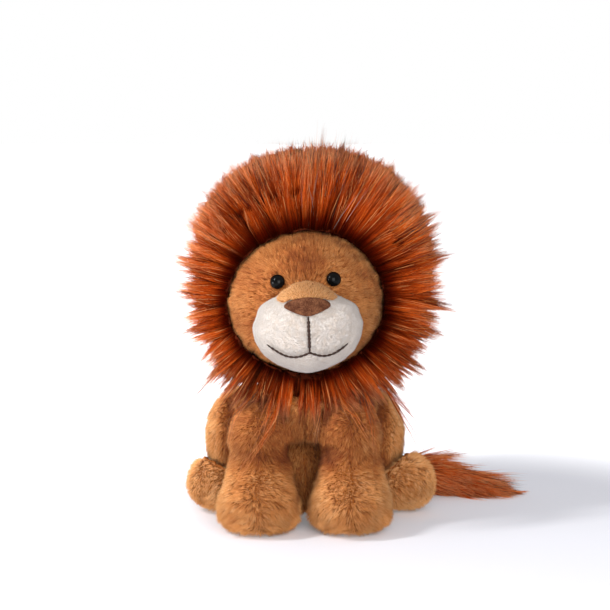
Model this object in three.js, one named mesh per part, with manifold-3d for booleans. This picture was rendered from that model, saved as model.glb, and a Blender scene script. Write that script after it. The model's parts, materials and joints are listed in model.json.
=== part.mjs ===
// A sitting plush lion with a long-haired mane, in millimetres.
// +Z is up, the face looks towards -Y, and left is the viewer's left (-X).
// The origin is in the middle of the flat seat under the body.
import * as THREE from 'three';
import { mergeVertices } from 'three/addons/utils/BufferGeometryUtils.js';
import Module from 'manifold-3d';

const wasm = await Module();
wasm.setup();

// Cloth and clearances
const clothThickness = 5; // backing and pile of the tan plush
const velourThickness = 2.5; // short pale cloth of the muzzle
const gap = 0.3; // between pieces that are sewn or lie together
const runGap = 0.5; // between pieces that turn on each other
const socketGap = 0.8; // between a ball and the socket it turns in
const soleCut = 0.5; // how deep a round piece is cut flat where it rests on the floor
const overrun = 60; // how far a cutter runs past what it cuts

// Body, sewn as one leaning bag
const bodyHeight = 96;
const bodyHalfWidth = 51;
const chestReach = 45; // front of the chest, ahead of the origin
const rumpReach = 62; // back of the rump, behind the origin
const bodyFullness = 2.3; // 2 is an ellipse, more is squarer
// height, half width, front and rear of each level, as shares of the four sizes above
const bodyShares = [
  [0, 0.6, 0.16, 0.9],
  [0.05, 0.74, 0.17, 0.98],
  [0.16, 0.84, 0.22, 1],
  [0.35, 0.9, 0.29, 0.99],
  [0.55, 0.93, 0.55, 0.92],
  [0.72, 0.98, 0.88, 0.81],
  [0.84, 1, 1, 0.69],
  [0.92, 0.88, 0.93, 0.55],
  [0.975, 0.62, 0.7, 0.36],
  [1, 0.3, 0.42, 0.14],
];

// Neck, a ball of packed filling that head and body are sewn over
const neckRise = 4; // middle of the ball, above the body's top
const neckReach = 6; // ahead of the origin
const neckRadius = 24;
const collarSlope = 12.2; // degrees below level of the free space under the mane
const neckHeight = bodyHeight + neckRise;

// Front legs, from a round shoulder to a flat paw
const shoulderReach = 33; // ahead of the origin
const shoulderHeight = 64;
const shoulderRadius = 24;
const legHalfWidth = 22.5;
const pawHalfWidth = 27.5;
const legsApart = 4; // from the middle plane to a paw
const pawReach = 44; // toe, ahead of the shoulder
const chestDrop = 7; // from the shoulder down to the chest between the legs
const legFullness = 2.2;
// height, half width, front and rear of each level under the shoulder, as shares of the
// shoulder's height, the way from leg to paw width, the paw's reach and the shoulder's radius
const legShares = [
  [0, -0.1, 0.76, 0.12],
  [0.05, 0.62, 0.91, 0.62],
  [0.15, 0.97, 0.985, 0.72],
  [0.3, 1, 1, 0.77],
  [0.45, 0.72, 0.92, 0.82],
  [0.6, 0.31, 0.73, 0.87],
  [0.76, 0.06, 0.61, 0.92],
];
const legRearShare = 0.92; // the leg's furthest back, of the shoulder's radius
const shoulderTurns = [0, 20, 40, 58, 75, 86]; // degrees up the shoulder's dome
const shoulderMouth = 9; // radius of the sewn mouth that joins leg and body
const shoulderSpread = pawHalfWidth + legsApart; // from the middle plane
const chestUnderside = shoulderHeight - chestDrop;

// Hind legs, a round haunch that lies on each hip, with a foot under it
const haunchRadius = 38;
const haunchLift = 12; // lowest point of the haunch
const haunchClear = 0.92; // between the haunch and the front leg ahead of it
const hipSpread = 38.3; // from the middle plane to the side of the body under the hip
const haunchSpread = 41; // from the middle plane to the haunch's widest round
const haunchBulge = 31; // how far the haunch swells outwards from there
const haunchDepth = 10; // how far it swells inwards
const haunchMouth = 13; // radius of the sewn mouth that joins haunch and body
const haunchFullness = 2.2;
const footHalfWidth = 23.5;
const footHalfLength = 30;
const footHeight = 43;
const footReach = 14; // middle of the foot, behind the origin
const footSpreadLeft = 59; // middle of the foot, from the middle plane
const footSpreadRight = 68.5;
const footSplay = 25; // degrees that the toes turn outwards
const hipHeight = haunchRadius + haunchLift;
const hipReach = haunchRadius + haunchClear + shoulderRadius * legRearShare - shoulderReach;

// Bag of pellets that weighs down the seat
const pelletHalfWidth = 24;
const pelletHalfDepth = 20;
const pelletHeight = 22;

// Head
const headHalfWidth = 55.5;
const headHalfDepth = 50;
const headHalfHeight = 50.5;
const headAhead = 20; // middle of the head, ahead of the origin
const headRise = 57; // above the middle of the neck
const headShift = 2.2; // sideways, which the head's tilt takes up
const headRoll = 2.5; // degrees, the viewer's right side up
const headTurn = 1.5; // degrees, towards the viewer's right
const headMiddle = neckHeight + headRise;

// Muzzle, a pale cap sewn on the face
const muzzleHalfWidth = 36.8;
const muzzleHalfDepth = 36;
const muzzleHalfHeight = 30;
const muzzleJut = 42; // middle of the muzzle, ahead of the head's middle
const muzzleDrop = 10.5; // and below it
const muzzleFullness = 2.2;
const muzzleTaperShare = 0.45; // how much narrower its top is
const muzzleAhead = headAhead + muzzleJut;
const muzzleMiddle = headMiddle - muzzleDrop;

// Nose and the tan patch above it
const noseHalfWidth = 15.5;
const noseHeight = 12.5;
const noseRise = 10.5; // its lowest point, above the middle of the muzzle
const noseThickness = 3;
const patchHalfWidth = 19;
const patchHeight = 10.5;
const patchThickness = 1.6;
const patchLapShare = 0.8; // of the nose's height, where the patch starts
const noseBottom = muzzleMiddle + noseRise;
const patchBottom = noseBottom + noseHeight * patchLapShare;
// place across and up of the bends on half a nose and half a patch
const noseTipShares = [0.35, 0];
const noseCheekShares = [1.1, 0.5];
const noseCornerShares = [1, 0.72];
const noseBrowShares = [0.85, 1];
const patchBrowShares = [0.8, 1.3];

// Stitches of the mouth
const stitchRadius = 0.9;
const smileWidthShare = 0.815; // of the muzzle's half width
const smileDrop = 13.7; // its middle, below the middle of the muzzle
const smileDip = 3.1; // the lowest point below the middle
const smileRise = 6.8; // the corners above the middle
// place across and height below or above the middle of points on half a smile
const smileAcrossShares = [0, 0.12, 0.3, 0.52, 0.76, 1];
const smileDipShares = [0, 0.55, 1, 0.7];
const smileRiseShares = [0.28, 1];
const lipShares = [0, 0.25, 0.5, 0.75, 1]; // points down the line from the nose to the smile
const smileHalfWidth = muzzleHalfWidth * smileWidthShare;
const smileMiddle = muzzleMiddle - smileDrop;

// Safety eyes: a domed cap on a post, held by a washer inside the head
const eyeRadius = 5;
const eyeDome = 4;
const eyeRim = 1;
const eyeSpread = 18.8;
const eyeRise = 19; // above the middle of the head
const postRadius = 1.6;
const postLength = 15;
const washerRadius = 5.5;
const washerThickness = 1.5;
const washerSeat = 2; // behind the cloth, which curves away under the washer

// Mane, long fur on the sides and back of the head
const maneHalfWidth = 88;
const maneHalfHeight = 87;
const maneAhead = 46; // front, ahead of the head's middle
const maneBehind = 92; // back, behind it
const maneRise = 20; // middle, above it
const maneShift = 8.5;
const maneSlope = 1; // degrees below level of its underside, seen from the neck
const faceRimRadius = 50; // where the mane starts round the face
const rimAhead = 16; // ahead of the head's middle
const maneFlare = 12; // degrees that its front leans forwards
const backSeam = 47; // seam behind the ring, behind the head's middle
const maneFullness = 2.25;
const maneDroopShare = 0.1; // how much longer it is below its middle
const maneLockDepth = 7; // hollows between the locks of fur
const maneLockTop = 2; // locks, above the mane's even form
// directions of the ring's four seams, in degrees from the viewer's right, upwards
const maneSeamTurns = [-42, 52, 128, 222];
const maneFront = headAhead + maneAhead; // ahead of the origin
const maneBack = maneBehind - headAhead; // behind the origin
const maneMiddle = headMiddle + maneRise;
const faceRimAhead = headAhead + rimAhead;
const maneBackSeam = backSeam - headAhead;

// Tail, a thin plush tube with a tuft of long fur
const tailSide = 12; // root, from the middle plane
const tailInset = 2; // root, ahead of the back of the rump
const tailRootHeight = 15;
const tailRootRadius = 9.5;
const tailRadius = 6.5;
const tailRun = 52; // root to tuft, sideways
const tailBow = 11; // how far the tail bows backwards
const tailRest = 1; // how high its middle lies above the floor
// place along, bow and drop of two points on the tail
const tailWayShares = [
  [0.3, 0.85, 0.7],
  [0.68, 1, 1],
];
const tuftBowShare = 0.5; // how much of the bow is left at the tuft
const tuftRadius = 14.5;
const tuftLength = 92;
const tuftSocket = 9;
const tuftSwing = 7; // degrees that the tuft points forwards
// place along, half thickness and half width of the tuft's sections, as shares of
// its length and radius
const tuftShares = [
  [0, 0.98, 0.95],
  [0.1, 1.04, 1.05],
  [0.24, 1.04, 1.1],
  [0.4, 0.92, 1.02],
  [0.56, 0.72, 0.82],
  [0.72, 0.48, 0.58],
  [0.87, 0.26, 0.34],
  [1, 0.08, 0.08],
];

// Counts of faces round each kind of form
const maneSideCount = 44; // even, for the locks and the hollows between them
const bodySideCount = 20;
const limbSideCount = 16;
const smallSideCount = 12;

const tailBack = rumpReach - tailInset;
const tailDrop = tailRootHeight - tailRadius - tailRest;
const neck = new THREE.Vector3(0, -neckReach, neckHeight);
const tailRoot = new THREE.Vector3(tailSide, tailBack, tailRootHeight);
const tuftRoot = new THREE.Vector3(
  tailSide + tailRun,
  tailBack + tailBow * tuftBowShare,
  tuftRadius,
);

// Turns a closed geometry into a solid
function solid(geometry) {
  const bare = new THREE.BufferGeometry();
  bare.setAttribute('position', geometry.attributes.position);
  if (geometry.index) bare.setIndex(geometry.index);
  const merged = mergeVertices(bare);
  return new wasm.Manifold(
    new wasm.Mesh({
      numProp: 3,
      vertProperties: new Float32Array(merged.attributes.position.array),
      triVerts: new Uint32Array(merged.index.array),
    }),
  );
}

// Joins rings of points, with as many points each, into one closed solid
function loft(rings) {
  const around = rings[0].length;
  const points = rings.flat();
  const faces = [];
  for (let row = 0; row < rings.length - 1; row++) {
    for (let i = 0; i < around; i++) {
      const a = row * around + i;
      const b = row * around + ((i + 1) % around);
      faces.push(a, b, b + around, a, b + around, a + around);
    }
  }
  for (const [row, flip] of [[0, true], [rings.length - 1, false]]) {
    const centre = points.length;
    const sum = rings[row].reduce((total, p) => total.add(p), new THREE.Vector3());
    points.push(sum.divideScalar(around));
    for (let i = 0; i < around; i++) {
      const a = row * around + i;
      const b = row * around + ((i + 1) % around);
      faces.push(centre, flip ? b : a, flip ? a : b);
    }
  }
  const geometry = new THREE.BufferGeometry().setFromPoints(points);
  geometry.setIndex(faces);
  return solid(geometry);
}

// A share of a rounded square's outline: 2 is a circle, more is squarer
function outline(angle, fullness) {
  const x = Math.cos(angle);
  const y = Math.sin(angle);
  const reach = (Math.abs(x) ** fullness + Math.abs(y) ** fullness) ** (-1 / fullness);
  return [x * reach, y * reach];
}

// A level ring of points
function ring(x, y, z, halfWidth, halfDepth, fullness, around) {
  return Array.from({ length: around }, (_, i) => {
    const [across, deep] = outline((2 * Math.PI * i) / around, fullness);
    return new THREE.Vector3(x + halfWidth * across, y + halfDepth * deep, z);
  });
}

// A stuffed egg; taper narrows its upper half and droop lengthens its lower, by that share,
// and swell scales each point of its surface, by column and row
function egg(half, fullness, around, down, taper = 0, droop = 0, swell = () => 1) {
  const geometry = new THREE.SphereGeometry(1, around, down);
  const point = geometry.attributes.position;
  for (let i = 0; i < point.count; i++) {
    const way = new THREE.Vector3().fromBufferAttribute(point, i);
    const sum =
      Math.abs(way.x) ** fullness + Math.abs(way.y) ** fullness + Math.abs(way.z) ** fullness;
    way.multiplyScalar(sum ** (-1 / fullness));
    way.x *= 1 - taper * Math.max(0, way.z);
    if (way.z < 0) way.z *= 1 + droop;
    const column = i % (around + 1);
    const row = (i - column) / (around + 1);
    way.multiply(half).multiplyScalar(swell(column, row));
    point.setXYZ(i, way.x, way.y, way.z);
  }
  return geometry;
}

function box(x0, x1, y0, y1, z0, z1) {
  const geometry = new THREE.BoxGeometry(x1 - x0, y1 - y0, z1 - z0);
  return solid(geometry.translate((x0 + x1) / 2, (y0 + y1) / 2, (z0 + z1) / 2));
}

function ball(centre, radius, around) {
  const geometry = new THREE.SphereGeometry(radius, around, around / 2).rotateX(Math.PI / 2);
  return solid(geometry.translate(centre.x, centre.y, centre.z));
}

// A turned piece; its axis is +Z before it is placed
function turned(profile, around, place = new THREE.Matrix4()) {
  const points = profile.map(([radius, along]) => new THREE.Vector2(radius, along));
  const geometry = new THREE.LatheGeometry(points, around).rotateX(Math.PI / 2);
  return solid(geometry.applyMatrix4(place));
}

// A flat outline in the plane of the two ways, pushed along the third
function pushed(shape, right, up, out, start, length, curveSegments = 12) {
  const geometry = new THREE.ExtrudeGeometry(shape, {
    depth: length,
    bevelEnabled: false,
    curveSegments,
  });
  geometry.translate(0, 0, start);
  return solid(geometry.applyMatrix4(new THREE.Matrix4().makeBasis(right, up, out)));
}

const toX = new THREE.Vector3(1, 0, 0);
const toY = new THREE.Vector3(0, 1, 0);
const toZ = new THREE.Vector3(0, 0, 1);
const toFront = new THREE.Vector3(0, -1, 0);

const widest = bodyHalfWidth + overrun;
const floor = box(-2 * widest, 2 * widest, -widest, widest, -overrun, 0);

const plush = new THREE.MeshStandardMaterial({ color: 0xb9742f, roughness: 0.95, metalness: 0 });
const longFur = new THREE.MeshStandardMaterial({ color: 0x9c3f16, roughness: 0.85, metalness: 0 });
const velour = new THREE.MeshStandardMaterial({ color: 0xe9e1d8, roughness: 0.9, metalness: 0 });
const suede = new THREE.MeshStandardMaterial({ color: 0x6b4630, roughness: 0.8, metalness: 0 });
const thread = new THREE.MeshStandardMaterial({ color: 0x4a3428, roughness: 0.7, metalness: 0 });
const eyePlastic = new THREE.MeshStandardMaterial({ color: 0x0b0a0a, roughness: 0.12, metalness: 0 });
const washerPlastic = new THREE.MeshStandardMaterial({ color: 0xdedad2, roughness: 0.5, metalness: 0 });
const filling = new THREE.MeshStandardMaterial({ color: 0xf4f2ee, roughness: 1, metalness: 0 });
const bagCloth = new THREE.MeshStandardMaterial({ color: 0xd8d2c6, roughness: 0.9, metalness: 0 });

const lion = new THREE.Group();

function add(group, name, shape, material) {
  const { vertProperties, triVerts } = shape.getMesh();
  const geometry = new THREE.BufferGeometry();
  geometry.setAttribute('position', new THREE.BufferAttribute(vertProperties, 3));
  geometry.setIndex(new THREE.BufferAttribute(triVerts, 1));
  geometry.computeVertexNormals();
  const mesh = new THREE.Mesh(geometry, material);
  mesh.name = name;
  group.add(mesh);
}

// The free space that a front leg turns in, round its shoulder and ahead of it
function legBay(side, inset) {
  const radius = shoulderRadius + runGap + inset;
  const inner = shoulderSpread - legHalfWidth - runGap - inset;
  const front = -shoulderReach - overrun;
  const shape = new THREE.Shape();
  shape.moveTo(front, -overrun);
  shape.lineTo(-shoulderReach + radius, -overrun);
  shape.lineTo(-shoulderReach + radius, shoulderHeight);
  shape.absarc(-shoulderReach, shoulderHeight, radius, 0, Math.PI, false);
  shape.lineTo(front, shoulderHeight);
  const start = side > 0 ? inner : -inner - widest;
  return pushed(shape, toY, toZ, toX, start, widest);
}

// A haunch, turned about the hip's axis
function haunch(side, grow, around) {
  const profile = Array.from({ length: around / 2 + 1 }, (_, i) => {
    const [round, out] = outline((2 * Math.PI * i) / around - Math.PI / 2, haunchFullness);
    return [(haunchRadius + grow) * round, ((out < 0 ? haunchDepth : haunchBulge) + grow) * out];
  });
  profile[0][0] = 0;
  profile[around / 2][0] = 0;
  const place = new THREE.Matrix4().makeRotationY((side * Math.PI) / 2);
  place.setPosition(side * haunchSpread, hipReach, hipHeight);
  return turned(profile, around, place).subtract(collarSpace(-grow));
}

// The free space that a haunch and its foot move in
function hipBay(side, inset, around) {
  const inner = hipSpread - inset;
  const x0 = side > 0 ? inner : -inner - overrun;
  const under = box(x0, x0 + overrun, -widest, widest, -overrun, hipHeight);
  return haunch(side, runGap + inset, around).add(under);
}

// The space above the shoulders that the mane moves in
function collarSpace(inset) {
  const top = neckHeight - inset;
  const fall = widest * Math.tan(THREE.MathUtils.degToRad(collarSlope));
  const place = new THREE.Matrix4().setPosition(0, -neckReach, 0);
  return turned(
    [[0, top], [widest, top - fall], [widest, top + overrun], [0, top + overrun]],
    bodySideCount,
    place,
  );
}

// The body's bag, drawn in by an inset all round
function body(inset, around) {
  const rings = bodyShares.map(([high, wide, front, rear]) => {
    const z = inset - soleCut + (bodyHeight + soleCut - 2 * inset) * high;
    const ahead = -chestReach * front + inset;
    const behind = rumpReach * rear - inset;
    const halfWidth = bodyHalfWidth * wide - inset;
    return ring(0, (ahead + behind) / 2, z, halfWidth, (behind - ahead) / 2, bodyFullness, around);
  });
  const underChest = box(
    -widest,
    widest,
    -widest,
    -shoulderReach + shoulderRadius + runGap + inset,
    -overrun,
    chestUnderside + inset,
  );
  return loft(rings)
    .subtract(underChest)
    .subtract(legBay(-1, inset))
    .subtract(legBay(1, inset))
    .subtract(hipBay(-1, inset, around))
    .subtract(hipBay(1, inset, around))
    .subtract(collarSpace(inset))
    .subtract(floor.translate([0, 0, inset]));
}

function pelletBag(grow) {
  const half = new THREE.Vector3(pelletHalfWidth, pelletHalfDepth, pelletHeight);
  half.addScalar(grow);
  const seat = clothThickness + gap;
  const middle = rumpReach / 2;
  const bag = solid(egg(half, bodyFullness, smallSideCount, smallSideCount / 2).translate(0, middle, seat));
  const under = box(-widest, widest, -widest, widest, -overrun, seat - grow * 2);
  return bag
    .subtract(under)
    .subtract(tailSocket)
    .intersect(body(clothThickness + gap - grow, smallSideCount));
}

// The tail's tube, from the root in the rump to the tuft
function tailTube(grow) {
  const way = tailWayShares.map(([along, bow, drop]) =>
    tailRoot.clone().add(new THREE.Vector3(tailRun * along, tailBow * bow, -tailDrop * drop)),
  );
  const path = new THREE.CatmullRomCurve3([tailRoot, ...way, tuftRoot]);
  const section = new THREE.Shape().absarc(0, 0, tailRadius + grow, 0, 2 * Math.PI, false);
  return solid(
    new THREE.ExtrudeGeometry(section, {
      steps: smallSideCount,
      curveSegments: smallSideCount / 2,
      extrudePath: path,
    }),
  );
}

const neckSocket = ball(neck, neckRadius + socketGap, bodySideCount);
const tailSocket = ball(tailRoot, tailRootRadius + socketGap, smallSideCount).add(tailTube(socketGap));

const bodySkin = body(0, bodySideCount)
  .subtract(body(clothThickness, smallSideCount))
  .subtract(neckSocket)
  .subtract(tailSocket);
add(lion, 'body_skin', bodySkin, plush);
const bodyFilling = body(clothThickness + gap, smallSideCount)
  .subtract(pelletBag(gap))
  .subtract(neckSocket)
  .subtract(tailSocket);
add(lion, 'body_stuffing', bodyFilling, filling);
add(lion, 'pellet_bag', pelletBag(0), bagCloth);
add(lion, 'neck_stuffing', ball(neck, neckRadius, bodySideCount), filling);

// A front leg, drawn in by an inset all round
function frontLeg(side, inset, around) {
  const x = side * shoulderSpread;
  const top = shoulderHeight + shoulderRadius;
  const level = (z) => inset + (z * (top - 2 * inset)) / top;
  const low = legShares.map(([high, wide, front, rear]) => {
    const ahead = -shoulderReach - pawReach * front + inset;
    const behind = -shoulderReach + shoulderRadius * rear - inset;
    const halfWidth = legHalfWidth + (pawHalfWidth - legHalfWidth) * wide - inset;
    const z = level(shoulderHeight * high);
    return ring(x, (ahead + behind) / 2, z, halfWidth, (behind - ahead) / 2, legFullness, around);
  });
  const dome = shoulderTurns.map((turn) => {
    const angle = THREE.MathUtils.degToRad(turn);
    const z = level(shoulderHeight + shoulderRadius * Math.sin(angle));
    const wide = (legHalfWidth - inset) * Math.cos(angle);
    const deep = (shoulderRadius - inset) * Math.cos(angle);
    return ring(x, -shoulderReach, z, wide, deep, 2, around);
  });
  return loft([...low, ...dome])
    .subtract(collarSpace(inset))
    .subtract(ball(neck, neckRadius + socketGap + inset, bodySideCount));
}

for (const [side, name] of [[-1, 'left'], [1, 'right']]) {
  const shoulder = new THREE.Vector3(side * shoulderSpread, -shoulderReach, shoulderHeight);
  const mouth = (radius) =>
    turned(
      [[0, 0], [radius, 0], [radius, overrun], [0, overrun]],
      smallSideCount,
      new THREE.Matrix4().makeRotationX(-Math.PI / 2).setPosition(shoulder),
    );
  const outer = frontLeg(side, 0, limbSideCount);
  const hollow = frontLeg(side, clothThickness, smallSideCount);
  const skin = outer.subtract(hollow).subtract(mouth(shoulderMouth));
  const plug = mouth(shoulderMouth - gap).intersect(outer);
  add(lion, 'front_leg_skin_' + name, skin, plush);
  const legFilling = frontLeg(side, clothThickness + gap, smallSideCount).add(plug);
  add(lion, 'front_leg_stuffing_' + name, legFilling, filling);
}

// A foot, flat under the sole, level with the haunch's inner side and round at the heel
function foot(side, inset, around) {
  const spread = side > 0 ? footSpreadRight : footSpreadLeft;
  const half = new THREE.Vector3(footHalfWidth, footHalfLength, (footHeight + soleCut) / 2);
  half.subScalar(inset);
  const form = egg(half, haunchFullness, around, around / 2);
  form.rotateZ(side * THREE.MathUtils.degToRad(footSplay));
  form.translate(side * spread, footReach, (footHeight - soleCut) / 2);
  const inner = hipSpread + runGap + inset;
  const x0 = side > 0 ? inner - overrun : -inner;
  const inside = box(x0, x0 + overrun, -widest, widest, -overrun, widest);
  const heelRadius = hipHeight - inset;
  const place = new THREE.Matrix4().makeRotationY((side * Math.PI) / 2);
  place.setPosition(0, hipReach, hipHeight);
  const heel = turned(
    [[0, 0], [heelRadius, 0], [heelRadius, widest], [0, widest]],
    bodySideCount,
    place,
  ).add(box(-widest, widest, -widest, hipReach, -overrun, widest));
  return solid(form)
    .subtract(inside)
    .subtract(frontLeg(side, -runGap - inset, limbSideCount))
    .intersect(heel)
    .subtract(floor.translate([0, 0, inset]));
}

for (const [side, name] of [[-1, 'left'], [1, 'right']]) {
  const hip = new THREE.Vector3(side * haunchSpread, hipReach, hipHeight);
  const mouth = (radius) =>
    turned(
      [[0, 0], [radius, 0], [radius, overrun], [0, overrun]],
      smallSideCount,
      new THREE.Matrix4().makeRotationY((-side * Math.PI) / 2).setPosition(hip),
    );
  const outer = haunch(side, 0, bodySideCount);
  const skin = outer.subtract(haunch(side, -clothThickness, smallSideCount)).subtract(mouth(haunchMouth));
  add(lion, 'haunch_skin_' + name, skin, plush);
  const plug = mouth(haunchMouth - gap).intersect(outer);
  const haunchFilling = haunch(side, -clothThickness - gap, smallSideCount).add(plug);
  add(lion, 'haunch_stuffing_' + name, haunchFilling, filling);
  const seat = haunch(side, gap, bodySideCount);
  const footHollow = foot(side, clothThickness, smallSideCount);
  add(lion, 'foot_skin_' + name, foot(side, 0, limbSideCount).subtract(footHollow).subtract(seat), plush);
  const footFilling = foot(side, clothThickness + gap, smallSideCount).subtract(seat);
  add(lion, 'foot_stuffing_' + name, footFilling, filling);
}

// Tail
const tail = tailTube(0)
  .add(ball(tailRoot, tailRootRadius, smallSideCount))
  .add(ball(tuftRoot, tuftSocket, smallSideCount));
add(lion, 'tail_stem', tail, plush);

const tuftWay = new THREE.Vector3(1, -Math.tan(THREE.MathUtils.degToRad(tuftSwing)), 0).normalize();
const tuftSide = new THREE.Vector3().crossVectors(toZ, tuftWay);
const tuftRings = tuftShares.map(([along, thick, wide]) =>
  Array.from({ length: limbSideCount }, (_, i) => {
    const [across, up] = outline((2 * Math.PI * i) / limbSideCount, 2);
    const halfHeight = tuftRadius * thick;
    const rise = halfHeight - soleCut - tuftRadius;
    return tuftRoot
      .clone()
      .addScaledVector(tuftWay, tuftLength * along + gap)
      .addScaledVector(tuftSide, tuftRadius * wide * across)
      .addScaledVector(toZ, halfHeight * up + rise);
  }),
);
const tuft = loft(tuftRings)
  .subtract(ball(tuftRoot, tuftSocket + socketGap, smallSideCount))
  .subtract(haunch(1, runGap, bodySideCount))
  .subtract(foot(1, -runGap, limbSideCount))
  .subtract(floor);
add(lion, 'tail_tuft', tuft, longFur);

// Head, built level and then rolled and turned about the neck
const head = new THREE.Group();
head.position.copy(neck);
head.rotation.set(
  0,
  -THREE.MathUtils.degToRad(headRoll),
  THREE.MathUtils.degToRad(headTurn),
  'ZYX',
);
const headParts = new THREE.Group();
headParts.position.copy(neck).negate();
head.add(headParts);
lion.add(head);

function headForm(grow, around = bodySideCount) {
  const half = new THREE.Vector3(headHalfWidth, headHalfDepth, headHalfHeight).addScalar(grow);
  const form = egg(half, 2, around, (around * 3) / 5);
  return solid(form.translate(headShift, -headAhead, headMiddle));
}

function muzzleForm(grow, around = bodySideCount) {
  const half = new THREE.Vector3(muzzleHalfWidth, muzzleHalfDepth, muzzleHalfHeight);
  half.addScalar(grow);
  const form = egg(half, muzzleFullness, around, (around * 3) / 5, muzzleTaperShare);
  return solid(form.translate(headShift, -muzzleAhead, muzzleMiddle));
}

// Height of the muzzle's front at a place across and up, this far off its surface
function muzzleFront(x, z, off) {
  const up = (z - muzzleMiddle) / (muzzleHalfHeight + off);
  const width = (muzzleHalfWidth + off) * (1 - muzzleTaperShare * Math.max(0, up));
  const rest = 1 - Math.abs((x - headShift) / width) ** muzzleFullness - Math.abs(up) ** muzzleFullness;
  return -muzzleAhead - (muzzleHalfDepth + off) * Math.max(0, rest) ** (1 / muzzleFullness);
}

// Where each eye sits, its axis pointing out of the face
function eyePlace(side) {
  const x = side * eyeSpread;
  const rest = 1 - (x / headHalfWidth) ** 2 - (eyeRise / headHalfHeight) ** 2;
  const y = -headHalfDepth * Math.sqrt(rest);
  const out = new THREE.Vector3(
    x / headHalfWidth ** 2,
    y / headHalfDepth ** 2,
    eyeRise / headHalfHeight ** 2,
  ).normalize();
  const turn = new THREE.Quaternion().setFromUnitVectors(toZ, out);
  const spot = new THREE.Vector3(x + headShift, y - headAhead, headMiddle + eyeRise);
  return new THREE.Matrix4().compose(spot, turn, new THREE.Vector3(1, 1, 1));
}

const headSocket = ball(neck, neckRadius + socketGap, bodySideCount);
let headSkin = headForm(0).subtract(headForm(-clothThickness, limbSideCount)).subtract(headSocket);
let headFilling = headForm(-clothThickness - gap, limbSideCount).subtract(headSocket);
let muzzleSkin = muzzleForm(0)
  .subtract(muzzleForm(-velourThickness, limbSideCount))
  .subtract(headForm(gap));
let muzzleFilling = muzzleForm(-velourThickness - gap, limbSideCount).subtract(headForm(gap));

for (const [side, name] of [[-1, 'left'], [1, 'right']]) {
  const place = eyePlace(side);
  const seat = -eyeRim;
  const profile = [[0, -postLength], [postRadius, -postLength], [postRadius, seat], [eyeRadius, seat]];
  for (let i = 0; i < smallSideCount / 2; i++) {
    const angle = (Math.PI * i) / smallSideCount;
    profile.push([eyeRadius * Math.cos(angle), eyeDome * Math.sin(angle)]);
  }
  profile.push([0, eyeDome]);
  add(headParts, 'eye_' + name, turned(profile, smallSideCount, place), eyePlastic);
  const washerTop = -clothThickness - washerSeat;
  const washerBottom = washerTop - washerThickness;
  const hole = postRadius + gap;
  const washer = turned(
    [
      [hole, washerBottom],
      [washerRadius, washerBottom],
      [washerRadius, washerTop],
      [hole, washerTop],
      [hole, washerBottom],
    ],
    smallSideCount,
    place,
  );
  add(headParts, 'eye_washer_' + name, washer, washerPlastic);
  const under = -postLength - gap;
  const cup = [[0, seat - gap], [eyeRadius + gap, seat - gap], [eyeRadius + gap, overrun], [0, overrun]];
  const eyeCup = turned(cup, smallSideCount, place);
  const postHole = turned([[0, under], [hole, under], [hole, 0], [0, 0]], smallSideCount, place);
  const pocketFloor = washerBottom - gap;
  const pocketRadius = washerRadius + gap;
  const pocket = turned(
    [[0, pocketFloor], [pocketRadius, pocketFloor], [pocketRadius, 0], [0, 0]],
    smallSideCount,
    place,
  );
  headSkin = headSkin.subtract(eyeCup).subtract(postHole);
  headFilling = headFilling.subtract(pocket).subtract(postHole);
  muzzleSkin = muzzleSkin.subtract(eyeCup);
  muzzleFilling = muzzleFilling.subtract(eyeCup);
}

add(headParts, 'head_skin', headSkin, plush);
add(headParts, 'head_stuffing', headFilling, filling);
add(headParts, 'muzzle_skin', muzzleSkin, velour);
add(headParts, 'muzzle_stuffing', muzzleFilling, filling);

// Nose, a padded wide triangle, and the patch that its top is sewn to
function noseOutline(grow) {
  const at = ([across, up], side) => [
    headShift + side * (noseHalfWidth + grow) * across,
    noseBottom - grow + (noseHeight + 2 * grow) * up,
  ];
  const shape = new THREE.Shape();
  shape.moveTo(...at([0, 0], 1));
  shape.bezierCurveTo(...at(noseTipShares, 1), ...at(noseCheekShares, 1), ...at(noseCornerShares, 1));
  shape.bezierCurveTo(...at(noseBrowShares, 1), ...at(noseBrowShares, -1), ...at(noseCornerShares, -1));
  shape.bezierCurveTo(...at(noseCheekShares, -1), ...at(noseTipShares, -1), ...at([0, 0], -1));
  return pushed(shape, toX, toZ, toFront, muzzleAhead, overrun, smallSideCount / 2);
}

function patchOutline() {
  const at = ([across, up], side) => [
    headShift + side * patchHalfWidth * across,
    patchBottom + patchHeight * up,
  ];
  const shape = new THREE.Shape();
  shape.moveTo(...at([1, 0], -1));
  shape.lineTo(...at([1, 0], 1));
  shape.bezierCurveTo(...at(patchBrowShares, 1), ...at(patchBrowShares, -1), ...at([1, 0], -1));
  return pushed(shape, toX, toZ, toFront, headAhead, 2 * overrun, smallSideCount / 2);
}

const nose = noseOutline(0).intersect(muzzleForm(noseThickness + gap)).subtract(muzzleForm(gap));
add(headParts, 'nose', nose, suede);
let patch = patchOutline()
  .intersect(muzzleForm(patchThickness + gap))
  .subtract(muzzleForm(gap))
  .subtract(headForm(gap))
  .subtract(noseOutline(gap));
for (const side of [-1, 1]) {
  const cup = [[0, -postLength], [eyeRadius + gap, -postLength], [eyeRadius + gap, overrun], [0, overrun]];
  patch = patch.subtract(turned(cup, smallSideCount, eyePlace(side)));
}
add(headParts, 'nose_bridge', patch, plush);

// A stitched line on the muzzle, through points given across and up
function stitch(points) {
  const off = stitchRadius + gap;
  const path = new THREE.CatmullRomCurve3(
    points.map(([x, z]) => new THREE.Vector3(x, muzzleFront(x, z, off), z)),
  );
  const section = new THREE.Shape().absarc(0, 0, stitchRadius, 0, 2 * Math.PI, false);
  return solid(
    new THREE.ExtrudeGeometry(section, { steps: 2 * points.length, curveSegments: 3, extrudePath: path }),
  );
}

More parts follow.
